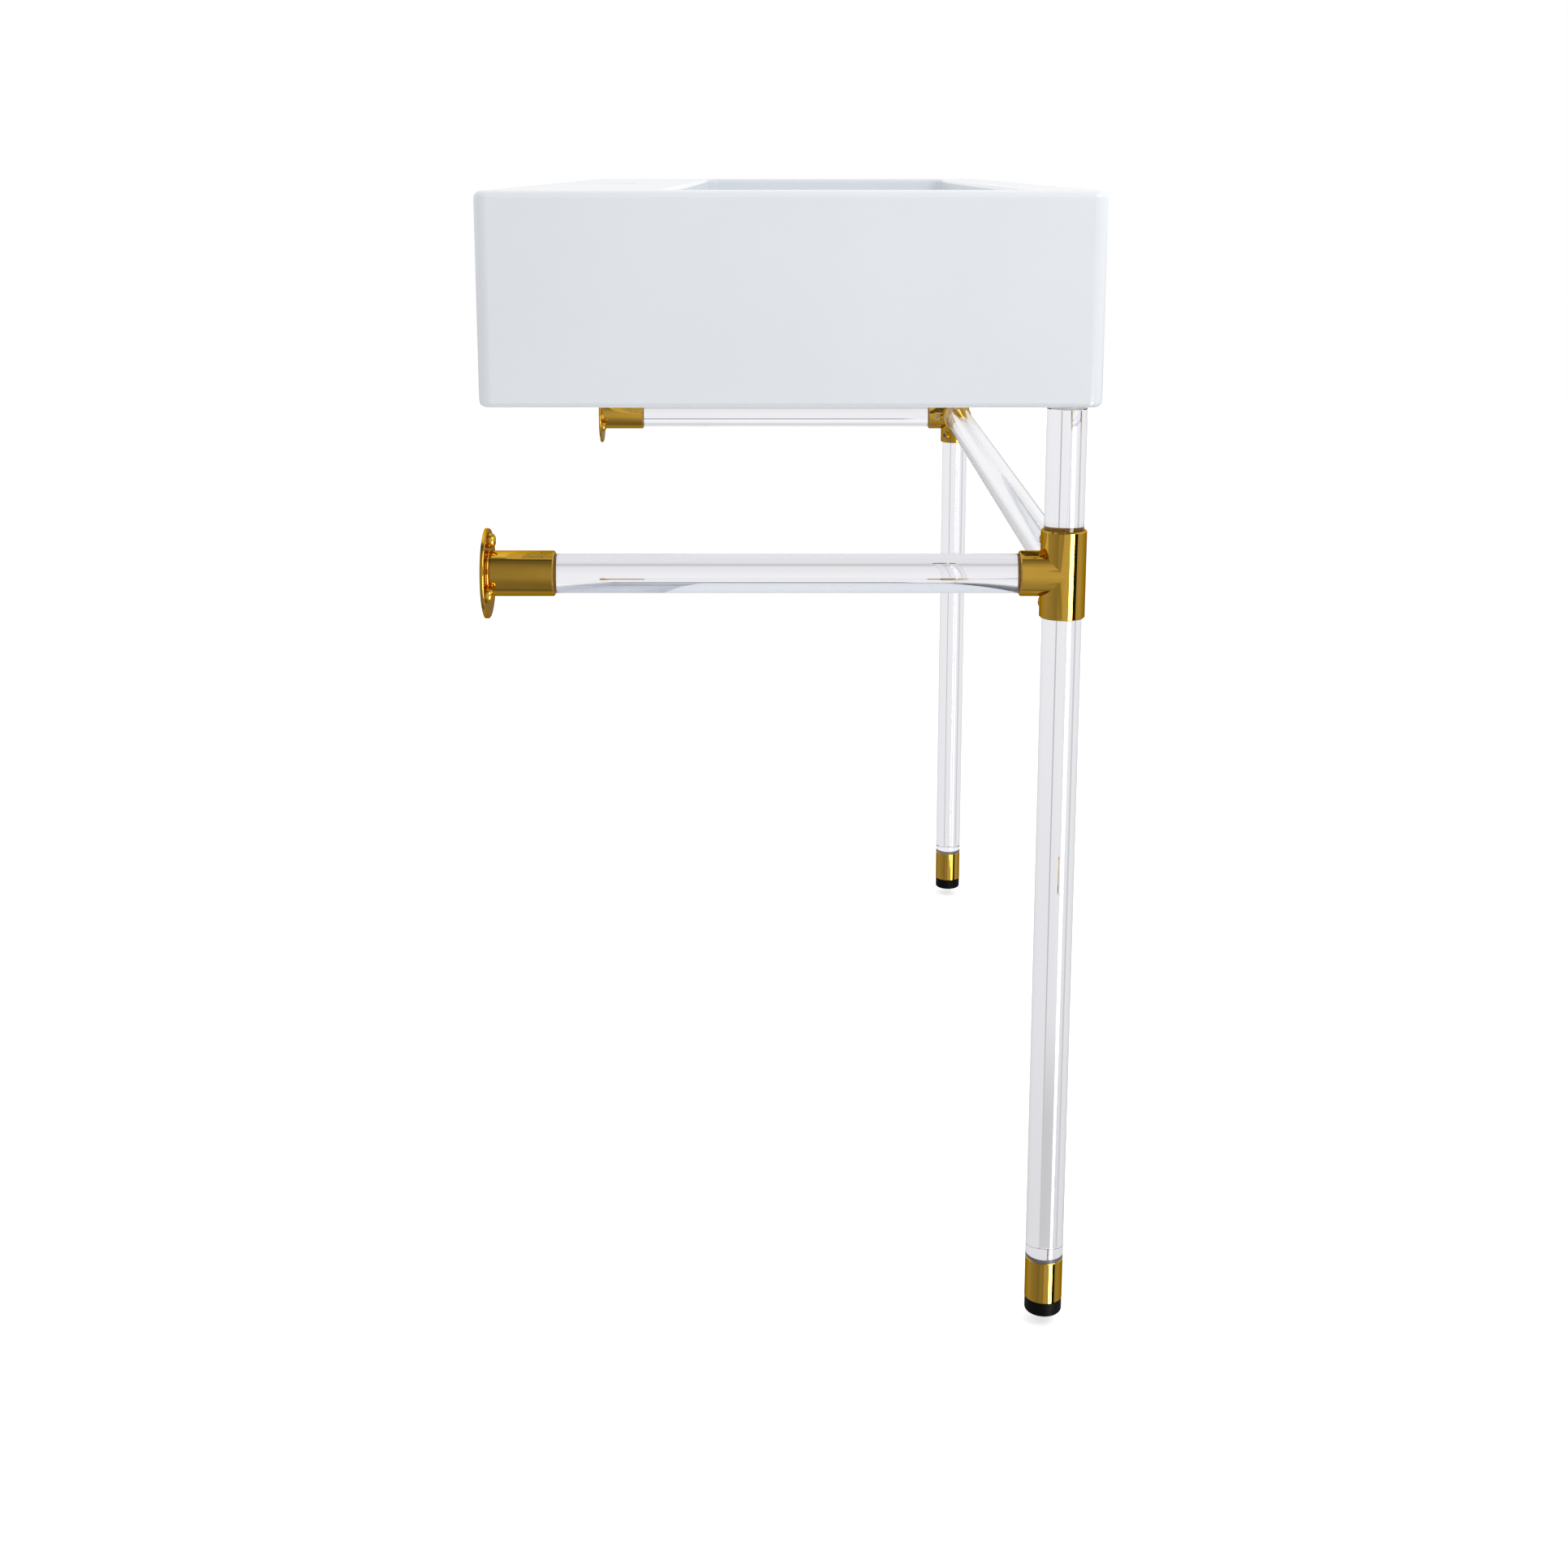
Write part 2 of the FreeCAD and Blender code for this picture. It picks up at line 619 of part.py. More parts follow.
# ---------------------------------------------------------------------------------------------
# Wall flanges
# ---------------------------------------------------------------------------------------------
# Local Z = 0 is the wall and Z runs out of it; local Y is up once the flange is on the wall.
OUT_OF_WALL = FreeCAD.Rotation(X_AXIS, 90)


def set_on_wall(thing, way):
    """Puts a piece on the wall at the side rail's axis."""
    set_place(thing, f"{way} * leg_out", "basin_depth / 2", "rail_height", OUT_OF_WALL)


def make_flange(side, way):
    """A round plate with a collar, bored to a stop for the rail, and three screw holes."""
    body = add_body(f"{side}_wall_flange")
    plate, collar, reach = "flange_diameter / 2", "fitting_radius", "flange_reach"
    stop = "flange_stop"
    corners = [
        ("stop_bore / 2", "0"),
        (plate, "0"),
        (plate, "flange_thickness"),
        (collar, "flange_thickness"),
        (collar, reach),
        ("socket_radius", reach),
        ("socket_radius", stop),
        ("stop_bore / 2", stop),
    ]
    turned = turn_profile(body, "Flange", corners)
    root = on_ring(collar, "flange_thickness")
    turned = dress(body, "Fillet", "CollarFillet", turned, "flange_fillet", root)
    edge = on_ring(plate, "flange_thickness")
    turned = dress(body, "Fillet", "PlateRound", turned, "flange_edge_round", edge)
    mouth = on_ring(collar, reach)
    dress(body, "Chamfer", "MouthBevel", turned, "fitting_bevel", mouth)
    grub_hole = "grub_diameter + 2 * grub_clearance"
    height = f"{reach} - boss_setback"
    add_drum(body, "Subtractive", "ScrewHole", grub_hole, collar, ("0", "0", height), -Y_AXIS)
    sketch = add_sketch(body, "WallScrewHole", "XY_Plane")
    draw_circle(sketch, "screw_shank + 2 * screw_clearance", "0", "flange_screw_circle / 2")
    hole = extrude(body, "Pocket", "WallScrewBore", sketch, "flange_thickness", backwards=True)
    repeat_round(body, "WallScrewBores", [hole], sketch)
    set_on_wall(body, way)
    return body


def repeat_round(body, name, features, sketch):
    """Repeats features round the body's Z axis, once for each flange screw."""
    pattern = body.newObject("PartDesign::PolarPattern", name)
    pattern.Originals = features
    pattern.Axis = (sketch, ["N_Axis"])
    pattern.Angle = 360
    bind(pattern, Occurrences="flange_screw_count")
    body.Tip = pattern
    doc.recompute()
    return pattern


def make_flange_screws(side, way):
    """Round-head screws through the flange, their shanks ending at the wall's face."""
    body = add_body(f"{side}_flange_screws")
    from_middle = "flange_screw_circle / 2"
    sketch = add_sketch(body, "ShankOutline", "XY_Plane")
    draw_circle(sketch, "screw_shank", "0", from_middle)
    shank = extrude(body, "Pad", "Shank", sketch, "flange_thickness")
    sketch = add_sketch(body, "HeadOutline", "XY_Plane", "flange_thickness")
    draw_circle(sketch, "screw_head", "0", from_middle)
    head = extrude(body, "Pad", "Head", sketch, "screw_head_height")
    screws = repeat_round(body, "Screws", [shank, head], sketch)
    top = value("flange_thickness + screw_head_height")
    dress(body, "Fillet", "Crowns", screws, "screw_head_round", lambda spot: near(spot.z, top))
    set_on_wall(body, way)
    return body


def make_flange_set_screw(side, way):
    """The set screw under the flange's collar."""
    length = "fitting_radius - grub_sunk - rod_radius - grub_clearance"
    grub = add_grub(f"{side}_flange_set_screw", length)
    grub.Label = f"{side}_flange_set_screw"
    # The screw's axis runs down from the rail, and its point is at the rail's underside.
    set_place(
        grub,
        f"{way} * leg_out",
        "basin_depth / 2 - flange_reach + boss_setback",
        "rail_height - rod_radius - grub_clearance",
        FreeCAD.Rotation(Z_AXIS, -Z_AXIS),
    )
    return grub


# ---------------------------------------------------------------------------------------------
# Feet
# ---------------------------------------------------------------------------------------------
def stand(thing, way):
    """Puts a turned piece on its leg's axis, its heights counted from the floor."""
    set_place(thing, f"{way} * leg_out", "-leg_forward")


def make_ferrule(side, way):
    """A cup for the leg's spigot over a threaded hole for the levelling stem."""
    body = add_body(f"{side}_leg_ferrule")
    outer, bore = "rod_radius", "stem_diameter / 2"
    cup = "spigot_diameter / 2 + socket_clearance"
    corners = [
        (bore, "ferrule_bottom"),
        (f"{outer} - ferrule_bevel", "ferrule_bottom"),
        (outer, "ferrule_bottom + ferrule_bevel"),
        (outer, "ferrule_top - ferrule_bevel"),
        (f"{outer} - ferrule_bevel", "ferrule_top"),
        (cup, "ferrule_top"),
        (cup, "cup_floor"),
        (bore, "cup_floor"),
    ]
    turn_profile(body, "Ferrule", corners)
    stand(body, way)
    return body


def make_gasket(side, way):
    """The ring round the spigot, between the ferrule and the leg's shoulder."""
    body = add_body(f"{side}_ferrule_gasket")
    inner, outer = "spigot_diameter / 2 + socket_clearance", "rod_radius"
    corners = [
        (inner, "ferrule_top"),
        (outer, "ferrule_top"),
        (outer, "leg_shoulder"),
        (inner, "leg_shoulder"),
    ]
    ring = turn_profile(body, "Ring", corners)
    low, high = on_ring(outer, "ferrule_top"), on_ring(outer, "leg_shoulder")
    dress(body, "Fillet", "RingRound", ring, "gasket_round", lambda spot: low(spot) or high(spot))
    stand(body, way)
    return body


def make_pad(side, way):
    """The foot: a moulded pad closed round the stem's head, which turns in it."""
    body = add_body(f"{side}_foot_pad")
    outer, neck = "pad_diameter / 2", "stem_diameter / 2 + foot_gap"
    pocket, pocket_top = "stem_head / 2 + foot_gap", "pad_sole + stem_head_height + 2 * foot_gap"
    corners = [
        ("0", "0"),
        (outer, "0"),
        (outer, "pad_height"),
        (neck, "pad_height"),
        (neck, pocket_top),
        (pocket, pocket_top),
        (pocket, "pad_sole"),
        ("0", "pad_sole"),
    ]
    pad = turn_profile(body, "Pad", corners)
    pad = dress(body, "Fillet", "SoleRound", pad, "pad_bottom_round", on_ring(outer, "0"))
    dress(body, "Fillet", "TopRound", pad, "pad_top_round", on_ring(outer, "pad_height"))
    stand(body, way)
    return body


def make_stem(side, way):
    """The levelling screw: a round head in the pad and a thread up through the ferrule."""
    body = add_body(f"{side}_levelling_stem")
    head_floor = "pad_sole + foot_gap"
    head_top = f"{head_floor} + stem_head_height"
    corners = [
        ("0", head_floor),
        ("stem_head / 2", head_floor),
        ("stem_head / 2", head_top),
        ("stem_radius", head_top),
        ("stem_radius", "stem_top - stem_room"),
        ("stem_radius - stem_room", "stem_top"),
        ("0", "stem_top"),
    ]
    turn_profile(body, "Stem", corners)
    stand(body, way)
    return body


def make_cushion(side, way):
    """The washer between leg and basin, with a locating peg up into the basin."""
    body = add_body(f"{side}_leg_cushion")
    peg, disc = "peg_diameter / 2", "rod_radius - rod_bevel"
    corners = [
        ("0", "leg_top"),
        (disc, "leg_top"),
        (disc, "basin_bottom"),
        (peg, "basin_bottom"),
        (peg, "basin_bottom + peg_length"),
        ("0", "basin_bottom + peg_length"),
    ]
    turn_profile(body, "Cushion", corners)
    stand(body, way)
    return body


# ---------------------------------------------------------------------------------------------
# The whole sink
# ---------------------------------------------------------------------------------------------
PER_SIDE = (
    make_upper_rod,
    make_lower_rod,
    make_side_rail,
    make_tee,
    make_tee_screws,
    make_flange,
    make_flange_screws,
    make_flange_set_screw,
    make_ferrule,
    make_gasket,
    make_pad,
    make_stem,
    make_cushion,
)


def make_sink():
    """Every sub-part, the left side's before the right side's."""
    parts = [make_basin(), make_front_rail()]
    for side, way in (("left", -1), ("right", 1)):
        parts += [make(side, way) for make in PER_SIDE]
    doc.recompute()
    return parts


def check_parts(parts):
    """Stops unless every object computed and every sub-part is a valid solid shape."""
    for thing in doc.Objects:
        if "Invalid" in thing.State or "Error" in thing.State:
            raise RuntimeError(f"{thing.Label} didn't compute: {thing.State}")
    for part in parts:
        if part.Shape.isNull() or not part.Shape.isValid() or not part.Shape.Solids:
            raise RuntimeError(f"{part.Label} is not a valid solid")


def write_parts(parts):
    """Writes each sub-part to its own file and prints its size."""
    os.makedirs("parts", exist_ok=True)
    for part in parts:
        part.Shape.exportStep(f"parts/{part.Label}.step")
        box = part.Shape.BoundBox
        print(
            f"{part.Label}: {len(part.Shape.Solids)} solid(s), {part.Shape.Volume / 1000:.1f} cm3,"
            f" X {box.XMin:.1f} {box.XMax:.1f}, Y {box.YMin:.1f} {box.YMax:.1f},"
            f" Z {box.ZMin:.1f} {box.ZMax:.1f}"
        )


sink = make_sink()
check_parts(sink)
write_parts(sink)
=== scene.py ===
# %% [markdown]
# # A console sink on clear legs
# The sink is a glazed ceramic trough that hangs on the wall at its back and stands on two clear
# acrylic legs at its front. Brass tees join the legs to a front rail and to two side rails, which
# run back to brass flanges on the wall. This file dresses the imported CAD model: it keeps every
# piece where the CAD put it, gives smooth meshes to what shows, and builds each finish from nodes.
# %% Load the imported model
import math

import bmesh
import bpy
from mathutils import Matrix, Vector


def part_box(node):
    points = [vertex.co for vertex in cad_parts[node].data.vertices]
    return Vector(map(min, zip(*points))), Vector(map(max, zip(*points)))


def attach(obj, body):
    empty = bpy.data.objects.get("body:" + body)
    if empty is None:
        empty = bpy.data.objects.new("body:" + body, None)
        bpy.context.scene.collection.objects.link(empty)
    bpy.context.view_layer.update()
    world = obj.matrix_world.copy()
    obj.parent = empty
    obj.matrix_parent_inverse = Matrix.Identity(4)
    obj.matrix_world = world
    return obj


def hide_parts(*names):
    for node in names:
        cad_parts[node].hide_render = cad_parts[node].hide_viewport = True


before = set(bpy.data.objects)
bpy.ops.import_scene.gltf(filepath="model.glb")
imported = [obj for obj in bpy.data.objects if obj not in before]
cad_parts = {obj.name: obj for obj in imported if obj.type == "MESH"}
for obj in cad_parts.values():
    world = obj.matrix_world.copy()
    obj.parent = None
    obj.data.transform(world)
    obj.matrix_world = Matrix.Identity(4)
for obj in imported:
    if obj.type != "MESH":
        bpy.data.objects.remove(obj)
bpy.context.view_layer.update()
MM = 0.001
SIDES = {"left": -1, "right": 1}

# %% [markdown]
# ## Tools for the finishes
# Colours are written as the sRGB hex values that a colour picker shows, but Blender's shaders
# count in linear light, so one function converts them. A second function adds a node, with its
# settings and with its links, so that every material below reads from top to bottom.
# %% Colour and node helpers
def linear(hex_colour):
    """An sRGB hex colour as linear red, green, blue and alpha."""
    parts = [int(hex_colour[at:at + 2], 16) / 255 for at in (1, 3, 5)]
    return [c / 12.92 if c <= 0.04045 else ((c + 0.055) / 1.055) ** 2.4 for c in parts] + [1.0]


def add(tree, kind, inputs=(), **settings):
    """Adds a node. inputs maps a socket's name or number to a value or to a socket to link."""
    node = tree.nodes.new(kind)
    for name, value in settings.items():
        setattr(node, name, value)
    for name, value in dict(inputs).items():
        if isinstance(value, bpy.types.NodeSocket):
            tree.links.new(value, node.inputs[name])
        else:
            node.inputs[name].default_value = value
    return node


def start_material(name, **uniform):
    """A material with one Principled shader; uniform holds what is the same all over."""
    material = bpy.data.materials.new(name)
    material.use_nodes = True
    shader = material.node_tree.nodes["Principled BSDF"]
    for socket, value in uniform.items():
        shader.inputs[socket.replace("_", " ")].default_value = value
    return material, material.node_tree, shader


print("brass gold in linear light:", [round(c, 3) for c in linear("#D8AA40")])

# %% [markdown]
# ## Glazed fireclay
# The basin is fireclay under a white glaze. The glaze is glassy (IOR 1.52) and nearly mirror
# smooth, but it ran a little while it melted, so reflections wobble over some 11 mm: that is the
# "orange peel" bump. Underneath, the glaze is thin and matt. Where the basin stood in the kiln,
# and where its back was ground flat for the wall, there is none, and the bare clay is warm, pale
# and rough.
# %% Glazed fireclay
glaze, tree, shader = start_material("GlazedFireclay", IOR=1.52)
where = add(tree, "ShaderNodeTexCoord").outputs["Object"]
cloud = add(tree, "ShaderNodeTexNoise", {"Vector": where, "Scale": 1 / (90 * MM), "Detail": 2.0})
white = add(tree, "ShaderNodeMix", {
    0: cloud.outputs[0], 6: linear("#E7EBF1"), 7: linear("#ECF0F5")}, data_type="RGBA")
normal = add(tree, "ShaderNodeNewGeometry").outputs["Normal"]
facing = add(tree, "ShaderNodeSeparateXYZ", {0: normal})
place = add(tree, "ShaderNodeSeparateXYZ", {0: where})
down = add(tree, "ShaderNodeMath", {0: facing.outputs[2], 1: -0.95}, operation="LESS_THAN")
low = add(tree, "ShaderNodeMath", {0: place.outputs[2], 1: 733.4 * MM}, operation="LESS_THAN")
kiln_edge = add(tree, "ShaderNodeMath", {
    0: down.outputs[0], 1: low.outputs[0]}, operation="MULTIPLY")
back = add(tree, "ShaderNodeMath", {0: place.outputs[1], 1: 228.3 * MM}, operation="GREATER_THAN")
bare = add(tree, "ShaderNodeMath", {
    0: kiln_edge.outputs[0], 1: back.outputs[0]}, operation="MAXIMUM")
grit = add(tree, "ShaderNodeTexNoise", {"Vector": where, "Scale": 1 / (0.8 * MM), "Detail": 3.0})
clay = add(tree, "ShaderNodeMix", {
    0: grit.outputs[0], 6: linear("#DED8CC"), 7: linear("#ECE8DF")}, data_type="RGBA")
colour = add(tree, "ShaderNodeMix", {
    0: bare.outputs[0], 6: white.outputs[2], 7: clay.outputs[2]}, data_type="RGBA")
underside = add(tree, "ShaderNodeMath", {0: facing.outputs[2], 1: -0.5}, operation="LESS_THAN")
thin = add(tree, "ShaderNodeMix", {0: underside.outputs[0], 2: 0.11, 3: 0.5})
sheen = add(tree, "ShaderNodeMix", {0: bare.outputs[0], 2: thin.outputs[0], 3: 0.75})
peel = add(tree, "ShaderNodeTexNoise", {"Vector": where, "Scale": 1 / (11 * MM), "Detail": 1.0})
relief = add(tree, "ShaderNodeMix", {0: bare.outputs[0], 2: peel.outputs[0], 3: grit.outputs[0]})
bump = add(tree, "ShaderNodeBump", {
    "Strength": 0.25, "Distance": 0.05 * MM, "Height": relief.outputs[0]})
tree.links.new(colour.outputs[2], shader.inputs["Base Color"])
tree.links.new(sheen.outputs[0], shader.inputs["Roughness"])
tree.links.new(bump.outputs[0], shader.inputs["Normal"])
print("glaze nodes:", len(tree.nodes))

# %% [markdown]
# ## Cast acrylic
# The legs and rails are solid rods of cast acrylic: clear, with an IOR of 1.49, so they bend
# what is behind them and turn it over. A rod is polished along its length, which leaves faint
# lines some 2 mm apart and 150 mm long. The pattern follows each rod through its own UV map,
# whose units are metres round the rod and along it.
# %% Cast acrylic
acrylic, tree, shader = start_material(
    "CastAcrylic", IOR=1.49, Transmission_Weight=1.0, Base_Color=linear("#FBFBFF"))
along = add(tree, "ShaderNodeTexCoord").outputs["UV"]
stretch = add(tree, "ShaderNodeMapping", {
    "Vector": along, "Scale": (1 / (2 * MM), 1 / (150 * MM), 1)})
lines = add(tree, "ShaderNodeTexNoise", {"Vector": stretch.outputs[0], "Scale": 1.0, "Detail": 2.0})
haze = add(tree, "ShaderNodeMapRange", {"Value": lines.outputs[0], 3: 0.0, 4: 0.03})
bump = add(tree, "ShaderNodeBump", {
    "Strength": 0.15, "Distance": 0.015 * MM, "Height": lines.outputs[0]})
tree.links.new(haze.outputs[0], shader.inputs["Roughness"])
tree.links.new(bump.outputs[0], shader.inputs["Normal"])
print("acrylic nodes:", len(tree.nodes))

# %% [markdown]
# ## Polished brass
# The fittings are brass, turned and then buffed to a mirror under clear lacquer, a deep gold in
# this light. Buffing leaves very fine marks, here drawn 0.5 mm apart, coarser than the real
# ones so that they show at all, and handling leaves patches that shine a little less. The
# lacquer's tint keeps the gold deep where the metal is seen edge-on.
# %% Polished brass
brass, tree, shader = start_material(
    "PolishedBrass", Metallic=1.0, Specular_Tint=linear("#CFAA6F"))
where = add(tree, "ShaderNodeTexCoord").outputs["Object"]
patch = add(tree, "ShaderNodeTexNoise", {"Vector": where, "Scale": 1 / (14 * MM), "Detail": 2.0})
gold = add(tree, "ShaderNodeMix", {
    0: patch.outputs[0], 6: linear("#D8AA40"), 7: linear("#E0B24C")}, data_type="RGBA")
shine = add(tree, "ShaderNodeMapRange", {"Value": patch.outputs[0], 3: 0.015, 4: 0.045})
buffing = add(tree, "ShaderNodeTexNoise", {"Vector": where, "Scale": 1 / (0.5 * MM), "Detail": 2.0})
bump = add(tree, "ShaderNodeBump", {
    "Strength": 0.04, "Distance": 0.005 * MM, "Height": buffing.outputs[0]})
tree.links.new(gold.outputs[2], shader.inputs["Base Color"])
tree.links.new(shine.outputs[0], shader.inputs["Roughness"])
tree.links.new(bump.outputs[0], shader.inputs["Normal"])
print("brass nodes:", len(tree.nodes))

# %% [markdown]
# Inside, where the rods are glued in, the bores are left as the cutter made them: the same brass,
# dull and even, with no lacquer. Each face of a mesh can have its own material, so the bores get
# this one. A mirror-bright bore would look black behind a clear rod, as it mirrors only itself.
# %% Bored brass
bored, tree, shader = start_material("BoredBrass", Metallic=1.0)
where = add(tree, "ShaderNodeTexCoord").outputs["Object"]
marks = add(tree, "ShaderNodeTexNoise", {"Vector": where, "Scale": 1 / (0.6 * MM), "Detail": 3.0})
gold = add(tree, "ShaderNodeMix", {
    0: marks.outputs[0], 6: linear("#C79A3E"), 7: linear("#D3A648")}, data_type="RGBA")
shine = add(tree, "ShaderNodeMapRange", {"Value": marks.outputs[0], 3: 0.45, 4: 0.6})
tree.links.new(gold.outputs[2], shader.inputs["Base Color"])
tree.links.new(shine.outputs[0], shader.inputs["Roughness"])
print("bored brass nodes:", len(tree.nodes))

# %% [markdown]
# ## Steel, rubber, the grey ring and the clear cushion
# The set screws and levelling stems are turned stainless steel, a darker grey than polished plate
# and less than mirror smooth. The cutter's marks on such small parts are too fine to draw, so a
# noise 0.4 mm wide varies the grey and the roughness a little instead.
# %% Stainless steel
steel, tree, shader = start_material("StainlessSteel", Metallic=1.0)
where = add(tree, "ShaderNodeTexCoord").outputs["Object"]
turned = add(tree, "ShaderNodeTexNoise", {"Vector": where, "Scale": 1 / (0.4 * MM), "Detail": 3.0})
grey = add(tree, "ShaderNodeMix", {
    0: turned.outputs[0], 6: linear("#8E9092"), 7: linear("#A9ABAC")}, data_type="RGBA")
shine = add(tree, "ShaderNodeMapRange", {"Value": turned.outputs[0], 3: 0.2, 4: 0.34})
tree.links.new(grey.outputs[2], shader.inputs["Base Color"])
tree.links.new(shine.outputs[0], shader.inputs["Roughness"])
print("steel nodes:", len(tree.nodes))

# %% [markdown]
# The feet are moulded rubber, black and matt. Their mould was spark-eroded, which leaves a grain
# 0.35 mm wide, drawn here as a bump. A softer noise of 9 mm is the faint bloom that rubber gets.
# %% Moulded rubber
rubber, tree, shader = start_material("MouldedRubber", IOR=1.52, Specular_IOR_Level=0.08)
where = add(tree, "ShaderNodeTexCoord").outputs["Object"]
grain = add(tree, "ShaderNodeTexNoise", {"Vector": where, "Scale": 1 / (0.35 * MM), "Detail": 2.0})
bloom = add(tree, "ShaderNodeTexNoise", {"Vector": where, "Scale": 1 / (9 * MM), "Detail": 2.0})
black = add(tree, "ShaderNodeMix", {
    0: bloom.outputs[0], 6: linear("#050506"), 7: linear("#0B0B0D")}, data_type="RGBA")
matt = add(tree, "ShaderNodeMapRange", {"Value": bloom.outputs[0], 3: 0.45, 4: 0.6})
bump = add(tree, "ShaderNodeBump", {
    "Strength": 0.3, "Distance": 0.03 * MM, "Height": grain.outputs[0]})
tree.links.new(black.outputs[2], shader.inputs["Base Color"])
tree.links.new(matt.outputs[0], shader.inputs["Roughness"])
tree.links.new(bump.outputs[0], shader.inputs["Normal"])
print("rubber nodes:", len(tree.nodes))

# %% [markdown]
# The ring between ferrule and leg is moulded nylon, grey with a half-dull skin. A mottle 3 mm wide
# keeps that skin from looking like flat paint.
# %% Grey nylon
nylon, tree, shader = start_material("GreyNylon", IOR=1.53)
where = add(tree, "ShaderNodeTexCoord").outputs["Object"]
mottle = add(tree, "ShaderNodeTexNoise", {"Vector": where, "Scale": 1 / (3 * MM), "Detail": 3.0})
grey = add(tree, "ShaderNodeMix", {
    0: mottle.outputs[0], 6: linear("#59555D"), 7: linear("#67636A")}, data_type="RGBA")
shine = add(tree, "ShaderNodeMapRange", {"Value": mottle.outputs[0], 3: 0.32, 4: 0.45})
tree.links.new(grey.outputs[2], shader.inputs["Base Color"])
tree.links.new(shine.outputs[0], shader.inputs["Roughness"])
print("nylon nodes:", len(tree.nodes))

# %% [markdown]
# The cushion under the basin is natural silicone, much cloudier than the acrylic. It scatters most
# of the light that enters it, so only a third of its light passes through and the rest is its own
# pale colour. With more light passing it would stand as a dark ring above the clear leg.
# %% Clear silicone
silicone, tree, shader = start_material("ClearSilicone", IOR=1.41, Transmission_Weight=0.3)
where = add(tree, "ShaderNodeTexCoord").outputs["Object"]
cloud = add(tree, "ShaderNodeTexNoise", {"Vector": where, "Scale": 1 / (2 * MM), "Detail": 2.0})
milky = add(tree, "ShaderNodeMix", {
    0: cloud.outputs[0], 6: linear("#EEF1F2"), 7: linear("#F8FAFA")}, data_type="RGBA")
blur = add(tree, "ShaderNodeMapRange", {"Value": cloud.outputs[0], 3: 0.2, 4: 0.35})
tree.links.new(milky.outputs[2], shader.inputs["Base Color"])
tree.links.new(blur.outputs[0], shader.inputs["Roughness"])
print("silicone nodes:", len(tree.nodes))


def link(thing):
    """Links an object to the scene and returns it."""
    bpy.context.scene.collection.objects.link(thing)
    return thing


def applied(thing):
    """The mesh of an object with its modifiers applied."""
    return bpy.data.meshes.new_from_object(
        thing.evaluated_get(bpy.context.evaluated_depsgraph_get()))


def finish_piece(name, mesh, material, node, body="root", crisp=35):
    """Turns a mesh into a shaded piece that rides on a body and stands for a CAD node."""
    mesh.materials.clear()
    mesh.materials.append(material)
    mesh.shade_smooth()
    mesh.set_sharp_from_angle(angle=math.radians(crisp))
    piece = link(bpy.data.objects.new(name, mesh))
    weigh = piece.modifiers.new("WeightedNormal", "WEIGHTED_NORMAL")
    weigh.keep_sharp = True
    flat = applied(piece)
    piece.modifiers.clear()
    piece.data = flat
    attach(piece, body)
    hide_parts(node)
    return piece


def merged_copy(node):
    """A copy of a CAD node's mesh with its loose triangles joined."""
    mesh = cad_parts[node].data.copy()
    shape = bmesh.new()
    shape.from_mesh(mesh)
    bmesh.ops.remove_doubles(shape, verts=shape.verts, dist=0.002 * MM)
    shape.to_mesh(mesh)
    shape.free()
    if mesh.has_custom_normals:
        mesh.attributes.remove(mesh.attributes["custom_normal"])
    return mesh


# %% [markdown]
# ## The basin
# Every level cut through the basin is a rectangle with rounded corners, so its whole skin can be
# one row of such outlines joined by faces: up the outside, over the rim, down into the bowl,
# through the drain, out under the bowl and back up inside the aprons. That gives even rounds
# with few faces, where a boolean of boxes would need its edges rounded afterwards.
# %% Outlines of the basin
# Lengths are in millimetres. A box holds half its width along X, then its lowest and highest Y.
OUTER = (508, -228.5, 228.5)
OUTER_CORNER, BOTTOM_ROUND, TOP_ROUND = 11, 4.5, 5.5
APRON, DECK = 14, 16  # thickness of the aprons and of the rim
BOWL = (458, -179.5, 94)
BOWL_CORNER, LIP_ROUND, FLOOR_ROUND, BOWL_WALL = 14, 4, 18, 12
DRAIN_MIDDLE, DRAIN_RADIUS, SEAT_RADIUS, SEAT_DEPTH = -42.75, 22.5, 32, 3
FALL, FALL_START, DRAIN_PATCH = 5, 22, 39  # the floor falls from near the sides to a square patch
BOTTOM, HEIGHT, FLOOR, UNDERSIDE = 733, 156, 41, 24  # above the floor, then above the bottom
ARC, BEND = 12, 8  # steps in a corner and in a round


def outline(box, grow, corner, height):
    """A rounded rectangle in millimetres, grown by a distance, at a height in the basin."""
    half, low, high = box[0] + grow, box[1] - grow, box[2] + grow
    corner = max(corner, 0.2)
    points = []
    for x_side, y_side, start in ((1, 1, 0), (-1, 1, 90), (-1, -1, 180), (1, -1, 270)):
        middle_x = x_side * (half - corner)
        middle_y = high - corner if y_side == 1 else low + corner
        for step in range(ARC + 1):
            angle = math.radians(start + 90 * step / ARC)
            x, y = middle_x + corner * math.cos(angle), middle_y + corner * math.sin(angle)
            points.append(Vector((x, y, BOTTOM + height)) * MM)
    return points


def quarter(box, corner, radius, height, start, turn):
    """Outlines round a quarter circle of an edge; start and turn are its angles in degrees."""
    rows = []
    for step in range(BEND + 1):
        angle = math.radians(start + turn * step / BEND)
        grow = radius * math.cos(angle)
        rows.append(outline(box, grow, corner + grow, height + radius * math.sin(angle)))
    return rows


print("one outline has", len(outline(OUTER, 0, 11, 0)), "points")

# %% The basin's skin
def round_outline(radius, height):
    """A circle about the drain, with as many points as every other outline."""
    box = (radius, DRAIN_MIDDLE - radius, DRAIN_MIDDLE + radius)
    return outline(box, 0, radius, height)


def inset(box, distance):
    """The box drawn in on every side."""
    return (box[0] - distance, box[1] + distance, box[2] - distance)


